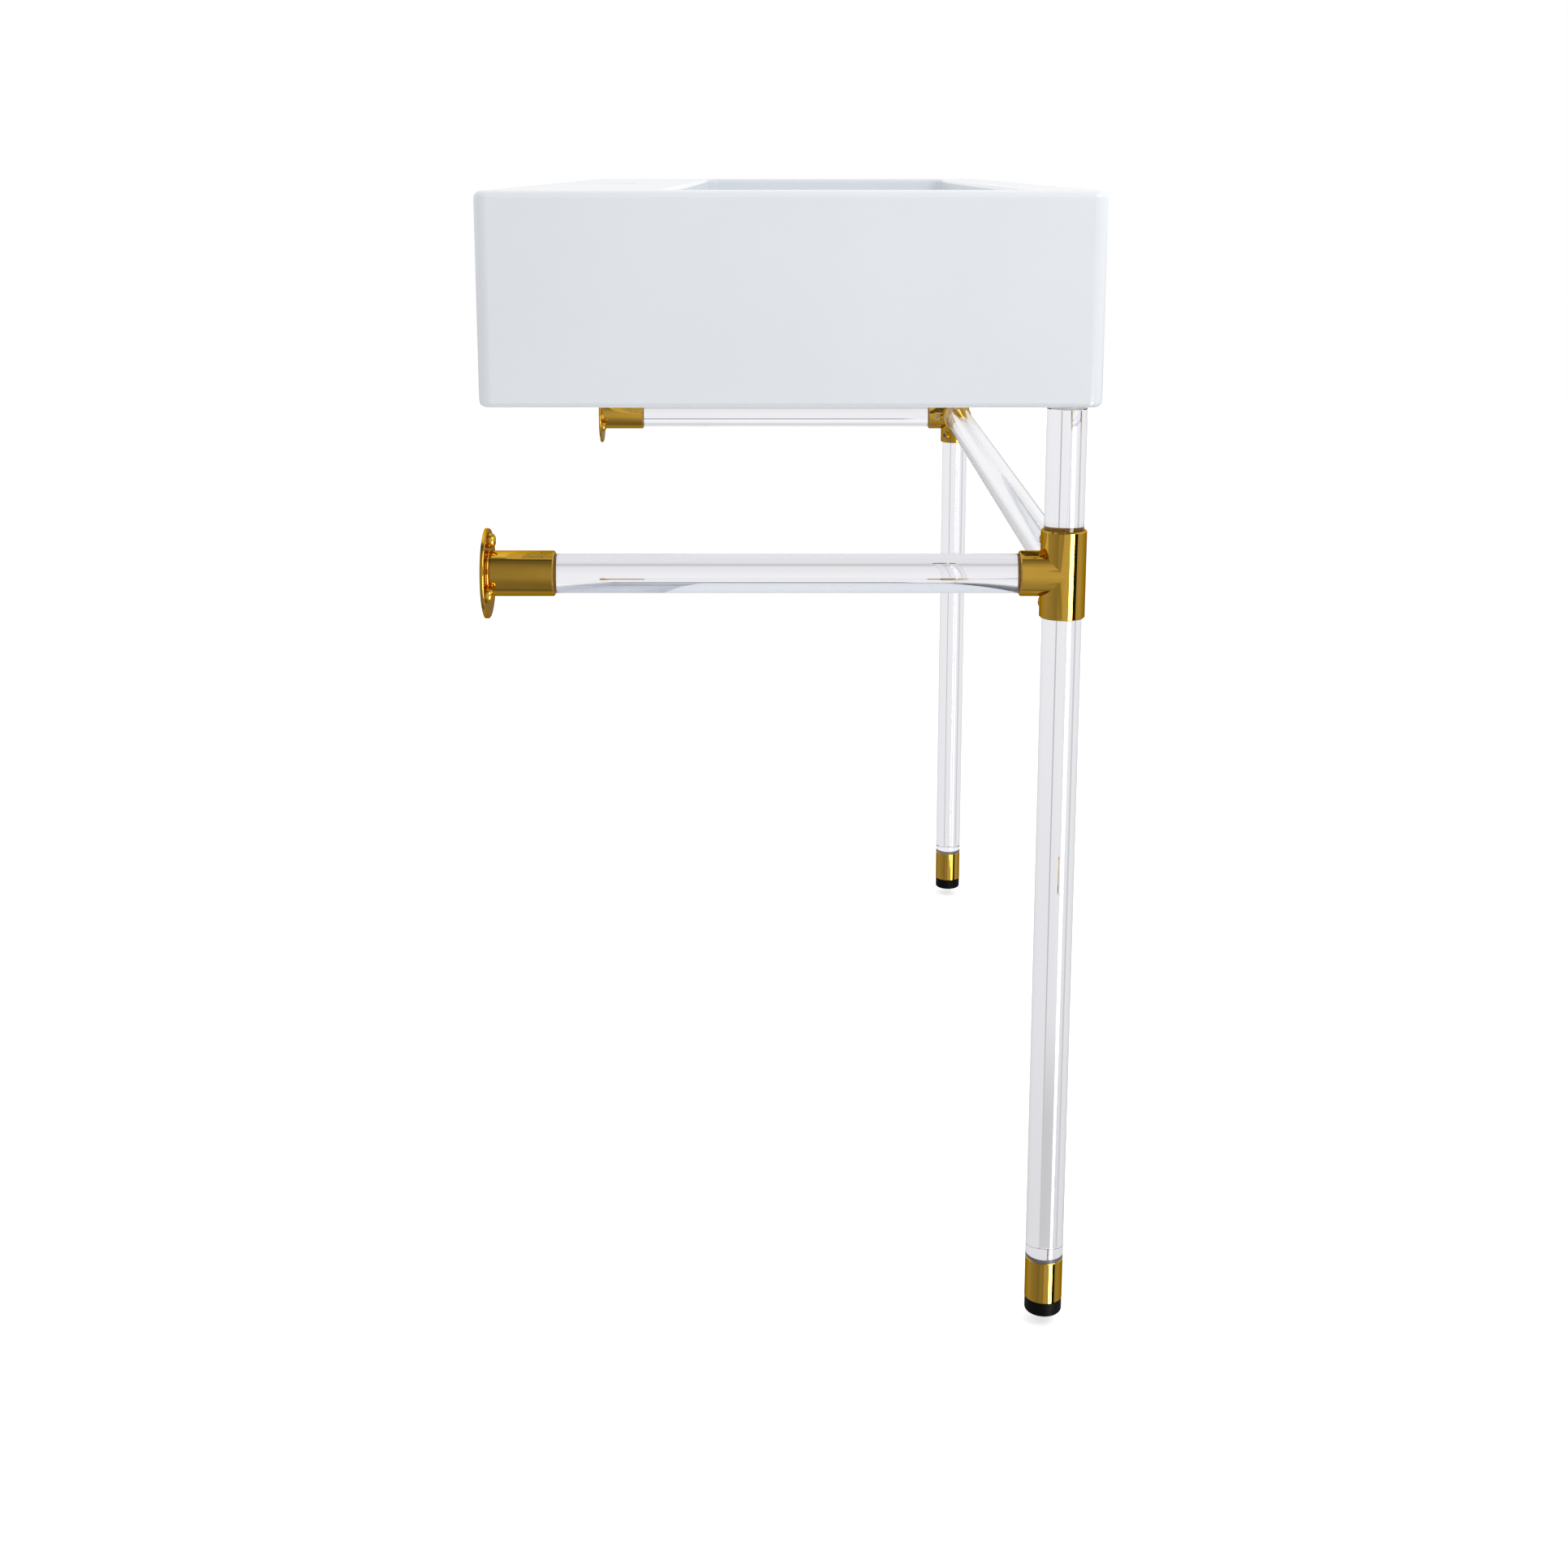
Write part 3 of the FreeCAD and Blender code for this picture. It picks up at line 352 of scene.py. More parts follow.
quarter_turn = [math.radians(90 * step / BEND) for step in range(BEND + 1)]
patch_box = (DRAIN_PATCH, DRAIN_MIDDLE - DRAIN_PATCH, DRAIN_MIDDLE + DRAIN_PATCH)
seat_top, seat_floor = FLOOR - FALL, FLOOR - FALL - SEAT_DEPTH
rows = [outline(OUTER, -APRON, 0, 0)]
for edge, height, start in ((BOTTOM_ROUND, BOTTOM_ROUND, -90), (TOP_ROUND, HEIGHT - TOP_ROUND, 0)):
    rows += quarter(inset(OUTER, edge), OUTER_CORNER - edge, edge, height, start, 90)
for angle in quarter_turn:
    grow = LIP_ROUND * (1 - math.sin(angle))
    height = HEIGHT - LIP_ROUND + LIP_ROUND * math.cos(angle)
    rows.append(outline(BOWL, grow, BOWL_CORNER + grow, height))
for angle in quarter_turn:
    grow = -FLOOR_ROUND * (1 - math.cos(angle))
    height = FLOOR + FLOOR_ROUND * (1 - math.sin(angle))
    rows.append(outline(BOWL, grow, BOWL_CORNER + grow * 12 / 18, height))
rows += [outline(BOWL, -FALL_START, 1, FLOOR), outline(patch_box, 0, 4, seat_top)]
rows += [round_outline(SEAT_RADIUS, seat_top), round_outline(SEAT_RADIUS, seat_floor)]
rows += [round_outline(DRAIN_RADIUS, seat_floor), round_outline(DRAIN_RADIUS, UNDERSIDE)]
rows += [outline(BOWL, BOWL_WALL, 0, UNDERSIDE), outline(BOWL, BOWL_WALL, 0, HEIGHT - DECK)]
rows.append(outline(OUTER, -APRON, 0, HEIGHT - DECK))
print("the skin has", len(rows), "outlines")


# %% [markdown]
# All outlines have the same number of points, so neighbours join point to point in four-sided
# faces. The leg blocks, on which the cushions press, are plain boxes in the front corners.
# %% Join the outlines and add the leg blocks
def skin(shape, rows, closed=False):
    """Faces between neighbouring rows of points; closed joins the last row to the first."""
    rings = [[shape.verts.new(point) for point in row] for row in rows]
    pairs = list(zip(rings, rings[1:])) + ([(rings[-1], rings[0])] if closed else [])
    for one, other in pairs:
        for at in range(len(one)):
            follow = (at + 1) % len(one)
            shape.faces.new((one[at], one[follow], other[follow], other[at]))
    return rings


BLOCK_X, BLOCK_Y, BLOCK = 479, -200, (30, 29, 60)
shape = bmesh.new()
skin(shape, rows, closed=True)
for way in SIDES.values():
    middle = Vector((way * BLOCK_X, BLOCK_Y, BOTTOM + BLOCK[2] / 2)) * MM
    sized = Matrix.Diagonal((*(Vector(BLOCK) * MM), 1))
    bmesh.ops.create_cube(shape, size=1, matrix=Matrix.Translation(middle) @ sized)
bmesh.ops.recalc_face_normals(shape, faces=shape.faces)
basin_mesh = bpy.data.meshes.new("Basin")
shape.to_mesh(basin_mesh)
shape.free()
print("the basin has", len(basin_mesh.polygons), "faces")

# %% [markdown]
# The faucet hole and the two holes for the wall bolts are cut with plain cylinders. A boolean is
# the simple way here, because each hole crosses a flat wall.
# %% Cut the holes
def drill(shape, middle, radius, depth, segments, turned=Matrix.Identity(4)):
    """Adds a closed cylinder about a point; its lengths are in millimetres."""
    bmesh.ops.create_cone(shape, cap_ends=True, segments=segments, depth=depth * MM,
                          radius1=radius * MM, radius2=radius * MM,
                          matrix=Matrix.Translation(Vector(middle) * MM) @ turned)


FAUCET_HOLE, BOLT_HOLE, BOLT_SPACING = 35, 14, 280
cutter = bmesh.new()
drill(cutter, (0, 162.5, 880), FAUCET_HOLE / 2, 30, 96)
for side_x in (-BOLT_SPACING / 2, BOLT_SPACING / 2):
    level = Matrix.Rotation(math.radians(90), 4, "X")
    drill(cutter, (side_x, 222, 829), BOLT_HOLE / 2, 22, 64, level)
cutter_mesh = bpy.data.meshes.new("HoleCutter")
cutter.to_mesh(cutter_mesh)
cutter.free()


def cut(mesh, tool_mesh, name):
    """The mesh with the tool's volume taken away."""
    blank = link(bpy.data.objects.new(name, mesh))
    tool = link(bpy.data.objects.new(name + "Tool", tool_mesh))
    boolean = blank.modifiers.new("Cut", "BOOLEAN")
    boolean.object, boolean.operation, boolean.solver = tool, "DIFFERENCE", "EXACT"
    result = applied(blank)
    for thing in (blank, tool):
        bpy.data.objects.remove(thing)
    return result


drilled = cut(basin_mesh, cutter_mesh, "Basin")
basin = finish_piece("glazed_basin", drilled, glaze, "basin", crisp=40)
print("the drilled basin has", len(basin.data.polygons), "faces")

# %% [markdown]
# ## Legs and rails
# A clear rod shows every facet, because it bends light twice, so each is turned on a lathe of
# its own: an outline of radius and height, swept round an axis in 128 steps. Its UV map holds
# metres round the rod and along it, for the polishing lines. A polished end mirrors the light only
# when air is behind it, so a hairline of air parts each end from what it meets.
# %% A lathe
AXES = {"X": Matrix.Rotation(math.radians(90), 4, "Y"),
        "Y": Matrix.Rotation(math.radians(-90), 4, "X"),
        "Z": Matrix.Identity(4)}


def turn(name, profile, axis="Z", middle=(0, 0, 0), steps=128):
    """A turned mesh: profile lists radius and height in metres from one end to the other."""
    shape = bmesh.new()
    to_place = Matrix.Translation(middle) @ AXES[axis]
    rows = []
    angles = [2 * math.pi * step / steps for step in range(steps)]
    for radius, height in profile:
        circle = [Vector((radius * math.cos(a), radius * math.sin(a), height)) for a in angles]
        rows.append([to_place @ point for point in circle])
    rings = skin(shape, rows)
    shape.faces.new(rings[0])
    shape.faces.new(rings[-1])
    bmesh.ops.recalc_face_normals(shape, faces=shape.faces)
    wrap = shape.loops.layers.uv.new("RoundAndAlong")
    widest = max(radius for radius, _ in profile)
    for face in shape.faces:
        local = [to_place.inverted() @ loop.vert.co for loop in face.loops]
        turns = [math.atan2(point.y, point.x) / (2 * math.pi) % 1 for point in local]
        for loop, point, part in zip(face.loops, local, turns):
            part += 1 if part < 0.25 and max(turns) > 0.75 else 0
            loop[wrap].uv = (part * 2 * math.pi * widest, point.z)
    mesh = bpy.data.meshes.new(name)
    shape.to_mesh(mesh)
    shape.free()
    return mesh


print("lathe axes:", sorted(AXES))

# %% Turn the plain rods
ROD_RADIUS, BEVEL, HAIRLINE = 15 * MM, 0.5 * MM, 0.2 * MM


def bevelled(radius, low, high):
    """The profile of a rod with bevelled ends."""
    slim = radius - BEVEL
    return [(slim, low), (radius, low + BEVEL), (radius, high - BEVEL), (slim, high)]


def turn_rod(node, axis):
    """A rod in the place of a CAD node, with both ends drawn back by a hairline."""
    low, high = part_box(node)
    middle, reach = (low + high) / 2, "XYZ".index(axis)
    half = (high - low)[reach] / 2 - HAIRLINE
    mesh = turn(node, bevelled(ROD_RADIUS, -half, half), axis, middle)
    return finish_piece(node + "_clear", mesh, acrylic, node, crisp=20)


turn_rod("front_rail", "X")
for side in SIDES:
    turn_rod(f"{side}_side_rail", "Y")
    turn_rod(f"{side}_upper_rod", "Z")

# %% [markdown]
# A leg also shows clear down to the grey ring, because its lower end mirrors the light too. The
# same hairline parts that end from the spigot below it, which goes down inside the ring and the
# ferrule.
# %% Turn the lower rods with their spigots
SHOULDER, SPIGOT, STEM_HOLE, HOLE_END = 50.0 * MM, 12 * MM, 6 * MM, 39.9 * MM
for side in SIDES:
    node = f"{side}_lower_rod"
    low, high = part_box(node)
    middle = Vector(((low.x + high.x) / 2, (low.y + high.y) / 2, 0))
    spigot = [(STEM_HOLE, HOLE_END), (STEM_HOLE, low.z), (SPIGOT - BEVEL, low.z),
              (SPIGOT, low.z + BEVEL), (SPIGOT, SHOULDER - HAIRLINE)]
    shape = bmesh.new()
    shape.from_mesh(turn("Leg", bevelled(ROD_RADIUS, SHOULDER, high.z - HAIRLINE), "Z", middle))
    shape.from_mesh(turn("Spigot", spigot, "Z", middle))
    mesh = bpy.data.meshes.new(node)
    shape.to_mesh(mesh)
    shape.free()
    finish_piece(node + "_clear", mesh, acrylic, node, crisp=20)

# %% [markdown]
# ## Brass fittings and small turned parts
# The CAD meshes of the tees, flanges, ferrules, rings, feet and cushions already have the right
# shape and enough facets. A copy of each is joined up and smoothed, and its creases stay crisp,
# as where the two arms of a tee meet the barrel.
# %% Smooth copies of the fittings
LEG_X, LEG_Y, RAIL_Z, WALL_Y = 489.3, -204.35, 606.6, 228.5
INSIDE = ROD_RADIUS + 0.3 * MM
FITTINGS = (("corner_tee", brass, "brass"), ("wall_flange", brass, "brass"),
            ("leg_ferrule", brass, "brass"), ("ferrule_gasket", nylon, "gasket_grey"),
            ("leg_cushion", silicone, "cushion_clear"))


def dull_bores(piece, way):
    """Gives the bored-brass material to the faces that look at the axis of a rod inside."""
    piece.data.materials.append(bored)
    middle = Vector((way * LEG_X, LEG_Y, RAIL_Z)) * MM
    for face in piece.data.polygons:
        for axis in range(3):
            radial = face.center - middle
            radial[axis] = 0
            if radial.length < INSIDE and face.normal.dot(radial.normalized()) < -0.5:
                face.material_index = 1


for side, way in SIDES.items():
    for kind, material, slot in FITTINGS:
        node = f"{side}_{kind}"
        piece = finish_piece(node + "_smooth", merged_copy(node), material, node, crisp=25)
        if material == brass:
            dull_bores(piece, way)
    node = f"{side}_foot_pad"
    finish_piece(node + "_smooth", merged_copy(node), rubber, node,
                 f"{side}_foot", crisp=25)

# %% [markdown]
# ## Screws on points
# Each tee has four set screws, and each flange has three round-head screws and one set screw.
# One screw of each kind is made once, and a Geometry Nodes tree puts a copy on every point of a
# carrier mesh, turned to face along the point's own direction and spun by a seeded random angle,
# as screws that were tightened by hand stop anywhere.
# %% The tree that places screws
def new_tree(name, sockets):
    """A Geometry Nodes tree with a geometry output and named inputs."""
    tree = bpy.data.node_groups.new(name, "GeometryNodeTree")
    for label, kind in sockets:
        tree.interface.new_socket(label, in_out="INPUT", socket_type=kind)
    tree.interface.new_socket("Geometry", in_out="OUTPUT", socket_type="NodeSocketGeometry")
    return tree, tree.nodes.new("NodeGroupInput"), tree.nodes.new("NodeGroupOutput")


def end_tree(tree, last, given, result):
    """Ends a tree: what it made becomes real mesh, in the material that was given."""
    real = add(tree, "GeometryNodeRealizeInstances", {0: last.outputs[0]})
    painted = add(tree, "GeometryNodeSetMaterial", {
        "Geometry": real.outputs[0], "Material": given.outputs["Finish"]})
    tree.links.new(painted.outputs[0], result.inputs[0])


screw_tree, given, result = new_tree("ScrewsOnPoints", (
    ("Points", "NodeSocketGeometry"), ("Screw", "NodeSocketObject"),
    ("Seed", "NodeSocketInt"), ("Finish", "NodeSocketMaterial")))
facing = add(screw_tree, "GeometryNodeInputNamedAttribute", {
    "Name": "facing"}, data_type="FLOAT_VECTOR")
aim = add(screw_tree, "FunctionNodeAlignRotationToVector", {"Vector": facing.outputs[0]}, axis="Z")
chance = add(screw_tree, "FunctionNodeRandomValue", {
    2: 0.0, 3: 2 * math.pi, "Seed": given.outputs["Seed"]})
spin = add(screw_tree, "FunctionNodeAxisAngleToRotation", {
    "Axis": (0, 0, 1), "Angle": chance.outputs[1]})
turned = add(screw_tree, "FunctionNodeRotateRotation", {
    0: aim.outputs[0], 1: spin.outputs[0]}, rotation_space="LOCAL")
screw = add(screw_tree, "GeometryNodeObjectInfo", {"Object": given.outputs["Screw"]})
placed = add(screw_tree, "GeometryNodeInstanceOnPoints", {
    "Points": given.outputs["Points"], "Instance": screw.outputs["Geometry"],
    "Rotation": turned.outputs[0]})
end_tree(screw_tree, placed, given, result)
print("screw tree nodes:", len(screw_tree.nodes))


# %% Run a tree
def run_tree(tree, mesh, **values):
    """The plain mesh that a Geometry Nodes tree makes from a mesh and its named inputs."""
    carrier = link(bpy.data.objects.new("Carrier", mesh))
    modifier = carrier.modifiers.new("Tree", "NODES")
    modifier.node_group = tree
    for socket in tree.interface.items_tree:
        if socket.in_out == "INPUT" and socket.name in values:
            modifier[socket.identifier] = values[socket.name]
    made = applied(carrier)
    bpy.data.objects.remove(carrier)
    return made


def carrier_mesh(places):
    """A mesh with one point for each place; places are pairs of a point in mm and a direction."""
    mesh = bpy.data.meshes.new("ScrewPlaces")
    mesh.from_pydata([Vector(point) * MM for point, _ in places], [], [])
    facing = mesh.attributes.new("facing", "FLOAT_VECTOR", "POINT")
    for item, (_, direction) in zip(facing.data, places):
        item.vector = direction
    return mesh


sockets = screw_tree.interface.items_tree
print("tree inputs:", [item.name for item in sockets if item.in_out == "INPUT"])


# %% One set screw and one round-head screw
def polar_row(radius_at, height_at, count=48):
    """A row of points round the Z axis, in mm: its radius and height are functions of the angle."""
    points = []
    for step in range(count):
        angle = 2 * math.pi * step / count
        radius = radius_at(angle)
        point = (radius * math.cos(angle), radius * math.sin(angle), height_at(radius))
        points.append(Vector(point) * MM)
    return points


def ring(radius, height):
    """A plain circle as a polar row."""
    return polar_row(lambda angle: radius, lambda r: height)


def master_screw(name, rows):
    """An object for the tree to copy, closed at both ends of its rows."""
    shape = bmesh.new()
    rings = skin(shape, rows)
    shape.faces.new(rings[0])
    shape.faces.new(rings[-1])
    bmesh.ops.recalc_face_normals(shape, faces=shape.faces)
    mesh = bpy.data.meshes.new(name)
    shape.to_mesh(mesh)
    shape.free()
    return link(bpy.data.objects.new(name, mesh))


def hexagon(angle):
    """Radius of a hexagon 2.5 mm across its flats."""
    return 1.25 / math.cos(angle % (math.pi / 3) - math.pi / 6)


def set_screw(length):
    """A grub screw: cup point at 0, chamfers, and a hexagon socket in its outer end."""
    socket_floor = length - min(2.0, length * 0.7)
    point = [ring(1.2, 0.0), ring(2.1, 0.35), ring(2.5, 0.6)]
    end = [ring(2.5, length - 0.3), ring(2.2, length)]
    socket = [polar_row(hexagon, lambda r: length), polar_row(hexagon, lambda r: socket_floor)]
    return master_screw("SetScrew", point + end + socket)


print("hexagon across corners:", round(2 * hexagon(0), 2), "mm")


# %% Round-head screw
def dome(radius):
    """Height of the screw's head above the plate, at a distance from its axis."""
    return 1.4 + math.sqrt(max(3.6 ** 2 - max(radius - 1.9, 0) ** 2, 0))


def cross(angle, half_width, reach):
    """Radius of a cross-shaped recess."""
    off = abs((angle + math.pi / 4) % (math.pi / 2) - math.pi / 4)
    return min(reach / math.cos(off), half_width / max(math.sin(off), 1e-6))


def round_head_screw():
    """The head that shows: a dome with a cross recess. Its shank is inside the plate."""
    rows = [ring(5.5, 0.0)] + [ring(r, dome(r)) for r in (5.5, 5.35, 5.0, 4.5, 3.9, 3.3)]
    rows.append(polar_row(lambda angle: cross(angle, 0.75, 2.7), dome))
    rows.append(polar_row(lambda angle: cross(angle, 0.5, 1.5), lambda r: 2.6))
    return master_screw("RoundHeadScrew", rows)


print("head height:", round(dome(0), 2), "mm")

# %% Put the screws in
POINT = 15.05  # mm from a rod's axis to the cup point of its screw
BARREL_BOSS, ARM_BOSS, COLLAR_SCREW = 24.3, 23.8, 42.8  # mm from the middle, or from the wall
PLATE, SCREW_CIRCLE = 3, 25
grub, short_grub, round_head = set_screw(4.05), set_screw(1.85), round_head_screw()


def put_screws(name, node, material, screw, seed, places):
    """One piece of screws; places are pairs of a point in mm and a direction."""
    mesh = run_tree(screw_tree, carrier_mesh(places), Screw=screw, Seed=seed, Finish=material)
    finish_piece(name, mesh, material, node, crisp=30)


for seed, (side, way) in enumerate(SIDES.items(), start=1):
    leg, rail = Vector((way * LEG_X, LEG_Y, RAIL_Z)), Vector((way * LEG_X, WALL_Y, RAIL_Z))
    slant = Vector((-way, 1, 0)).normalized()
    bosses = (
        (leg + Vector((0, 0, BARREL_BOSS)), slant),
        (leg - Vector((0, 0, BARREL_BOSS)), slant),
        (leg + Vector((0, ARM_BOSS, 0)), Vector((-way, 0, 0))),
        (leg - Vector((way * ARM_BOSS, 0, 0)), Vector((0, 1, 0))))
    put_screws(f"{side}_tee_grubs", f"{side}_tee_set_screws", steel, grub, seed,
               [(point + POINT * direction, direction) for point, direction in bosses])
    put_screws(f"{side}_flange_grub", f"{side}_flange_set_screw", steel,
               short_grub, seed + 10,
               [(rail + Vector((0, -COLLAR_SCREW, -POINT)), Vector((0, 0, -1)))])
    heads = []
    for step in range(3):
        angle = math.radians(90 + 120 * step)
        outwards = Vector((math.cos(angle), 0, math.sin(angle))) * SCREW_CIRCLE
        heads.append((rail + outwards - Vector((0, PLATE, 0)), Vector((0, -1, 0))))
    put_screws(f"{side}_flange_round_heads", f"{side}_flange_screws", brass,
               round_head, seed + 20, heads)
for master in (grub, short_grub, round_head):
    bpy.data.objects.remove(master)

# %% [markdown]
# ## Levelling stems
# Each foot is carried by an M10 stem with a 1.5 mm pitch, which turns as the foot runs out. The
# thread follows a rule, so a second tree winds it: a spiral, swept with a small diamond whose
# outer half stands out of the core as the ridge.
# %% The tree that winds a thread
thread_tree, given, result = new_tree("ThreadRidge", (
    ("Turns", "NodeSocketFloat"), ("Pitch", "NodeSocketFloat"), ("Radius", "NodeSocketFloat"),
    ("Ridge", "NodeSocketFloat"), ("Start", "NodeSocketVector"), ("Finish", "NodeSocketMaterial")))
middle = add(thread_tree, "ShaderNodeMath", {
    0: given.outputs["Radius"], 1: given.outputs["Ridge"]}, operation="SUBTRACT")
rise = add(thread_tree, "ShaderNodeMath", {
    0: given.outputs["Turns"], 1: given.outputs["Pitch"]}, operation="MULTIPLY")
coil = add(thread_tree, "GeometryNodeCurveSpiral", {
    "Resolution": 40, "Rotations": given.outputs["Turns"], "Start Radius": middle.outputs[0],
    "End Radius": middle.outputs[0], "Height": rise.outputs[0]})
level = add(thread_tree, "GeometryNodeSetCurveNormal", {"Curve": coil.outputs[0]}, mode="Z_UP")
diamond = add(thread_tree, "GeometryNodeCurvePrimitiveCircle", {
    "Resolution": 4, "Radius": given.outputs["Ridge"]})
ridge = add(thread_tree, "GeometryNodeCurveToMesh", {
    "Curve": level.outputs[0], "Profile Curve": diamond.outputs[0], "Fill Caps": True})
moved = add(thread_tree, "GeometryNodeTransform", {
    "Geometry": ridge.outputs[0], "Translation": given.outputs["Start"]})
end_tree(thread_tree, moved, given, result)
print("thread tree nodes:", len(thread_tree.nodes))

# %% Core and thread of each stem
PITCH, CREST, RIDGE, ROOT = 1.5 * MM, 4.9 * MM, 0.7 * MM, 4.25 * MM
HEAD, HEAD_HEIGHT, HEAD_BEVEL = 8.5 * MM, 3.2 * MM, 0.4 * MM
for side in SIDES:
    node = f"{side}_levelling_stem"
    low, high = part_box(node)
    middle = Vector(((low.x + high.x) / 2, (low.y + high.y) / 2, 0))
    head_top = low.z + HEAD_HEIGHT
    core = [(HEAD - HEAD_BEVEL, low.z), (HEAD, low.z + HEAD_BEVEL),
            (HEAD, head_top - HEAD_BEVEL), (HEAD - HEAD_BEVEL, head_top),
            (ROOT, head_top), (ROOT, high.z - 0.5 * MM), (ROOT - 0.45 * MM, high.z)]
    start = middle + Vector((0, 0, head_top + 0.8 * MM))
    turns = (high.z - head_top - 2 * MM) / PITCH
    mesh = run_tree(thread_tree, bpy.data.meshes.new("Empty"), Turns=turns, Pitch=PITCH,
                    Radius=CREST, Ridge=RIDGE, Start=start, Finish=steel)
    shape = bmesh.new()
    shape.from_mesh(mesh)
    shape.from_mesh(turn("StemCore", core, "Z", middle, steps=48))
    bmesh.ops.recalc_face_normals(shape, faces=shape.faces)
    shape.to_mesh(mesh)
    shape.free()
    finish_piece(f"{side}_threaded_stem", mesh, steel, node,
                 f"{side}_stem", crisp=30)
print("thread turns:", round(turns, 2))

# %% [markdown]
# ## Camera
# The photograph was taken level from the sink's left end, with the object high in the frame. A
# strong lens shift would copy that exactly, but it would push the sink out of other views, so
# the camera tilts down a little and shifts only by a seventh of the frame.
# %% Camera
TILT = 11.43  # degrees down
lens = bpy.data.cameras.new("Camera")
lens.lens, lens.sensor_width = 46.63, 36
lens.shift_y = -0.135
lens.clip_start, lens.clip_end = 0.05, 50
camera = link(bpy.data.objects.new("Camera", lens))
camera.location = (-1.9831, 0.0049, 0.9093)
camera.rotation_euler = (math.radians(90 - TILT), 0, math.radians(-90))
bpy.context.scene.camera = camera
print("camera at", [round(v, 3) for v in camera.location], "lens", lens.lens)

# %% [markdown]
# ## Floor
# The floor is plain white paper. It lies 10 mm under the feet, because the levelling feet run
# out by that much and must not sink into it. It is white to the camera, with the sink's soft
# shadow on it, and it doesn't show in the polished brass, which mirrors the studio instead. From
# below it is clear, so that the sink's underside can be seen.
# %% Floor
FLOOR_Z, FLOOR_REACH = -10.2 * MM, 6
shape = bmesh.new()
bmesh.ops.create_grid(shape, x_segments=1, y_segments=1, size=FLOOR_REACH,
                      matrix=Matrix.Translation((0, 0, FLOOR_Z)))
floor_mesh = bpy.data.meshes.new("Floor")
shape.to_mesh(floor_mesh)
shape.free()
floor = link(bpy.data.objects.new("Floor", floor_mesh))
floor.visible_glossy = floor.visible_transmission = False
paper = bpy.data.materials.new("WhitePaper")
paper.use_nodes = True
tree = paper.node_tree
tree.nodes.clear()
rays = add(tree, "ShaderNodeLightPath")
lift = add(tree, "ShaderNodeMath", {0: rays.outputs["Is Camera Ray"], 1: 0.5}, operation="MULTIPLY")
matt = add(tree, "ShaderNodeBsdfDiffuse", {"Color": linear("#F2F2F2")})
glow = add(tree, "ShaderNodeEmission", {"Color": linear("#FFFFFF"), "Strength": lift.outputs[0]})
both = add(tree, "ShaderNodeAddShader", {0: matt.outputs[0], 1: glow.outputs[0]})
under = add(tree, "ShaderNodeNewGeometry").outputs["Backfacing"]
clear = add(tree, "ShaderNodeBsdfTransparent")
sheet = add(tree, "ShaderNodeMixShader", {0: under, 1: both.outputs[0], 2: clear.outputs[0]})
add(tree, "ShaderNodeOutputMaterial", {"Surface": sheet.outputs[0]})
floor_mesh.materials.append(paper)
print("floor at", round(floor_mesh.vertices[0].co.z * 1000, 1), "mm")

# %% [markdown]
# ## Studio light
# Diffuse surfaces get plain even white from all round. Polished ones need something to mirror:
# a real studio has a tall strip light and a black flag beside it, a dark ceiling patch over the
# camera, and white paper behind the object. They are drawn on the world by direction. Rays that
# leave a clear rod meet a pattern of their own, near white with a few soft lines, which gives the
# rods their streaks. The camera itself sees white.
# %% World
world = bpy.data.worlds.new("Studio")
bpy.context.scene.world = world
world.use_nodes = True
tree = world.node_tree
tree.nodes.clear()
direction = add(tree, "ShaderNodeTexCoord").outputs["Generated"]
x, y, z = add(tree, "ShaderNodeSeparateXYZ", {0: direction}).outputs
left = add(tree, "ShaderNodeMath", {0: x, 1: -1.0}, operation="MULTIPLY").outputs[0]
front = add(tree, "ShaderNodeMath", {0: y, 1: -1.0}, operation="MULTIPLY").outputs[0]
# Angles round from the sink's left end towards its front, and up from the floor.
azimuth = add(tree, "ShaderNodeMath", {0: front, 1: left}, operation="ARCTAN2").outputs[0]
rise = add(tree, "ShaderNodeMath", {0: z}, operation="ARCSINE").outputs[0]


def window(angle, low, high, soft=1.0):
    """1 where an angle lies between two bounds in degrees, with soft edges, and 0 elsewhere."""
    edges = []
    for bound, sign in ((low, 1), (high, -1)):
        start, stop = math.radians(bound - sign * soft), math.radians(bound + sign * soft)
        edge = add(tree, "ShaderNodeMapRange", {
            "Value": angle, 1: start, 2: stop}, interpolation_type="SMOOTHSTEP")
        edges.append(edge.outputs[0])
    return times(edges[0], edges[1])


def times(one, other):
    """The product of two values."""
    return add(tree, "ShaderNodeMath", {0: one, 1: other}, operation="MULTIPLY").outputs[0]


def paint(below, value, mask):
    """Paints a brightness over another one where a mask is 1."""
    return add(tree, "ShaderNodeMix", {0: mask, 2: below, 3: value}).outputs[0]


def by_angle(angle, stops):
    """Brightness that runs smoothly through pairs of an angle in degrees and a grey."""
    part = add(tree, "ShaderNodeMapRange", {"Value": angle, 1: -math.pi, 2: math.pi})
    node = add(tree, "ShaderNodeValToRGB", {0: part.outputs[0]})
    ramp = node.color_ramp
    while len(ramp.elements) < len(stops):
        ramp.elements.new(0.5)
    for element, (degrees, grey) in zip(ramp.elements, stops):
        element.position = degrees / 360 + 0.5
        element.color = (grey, grey, grey, 1)
    return node.outputs[0]


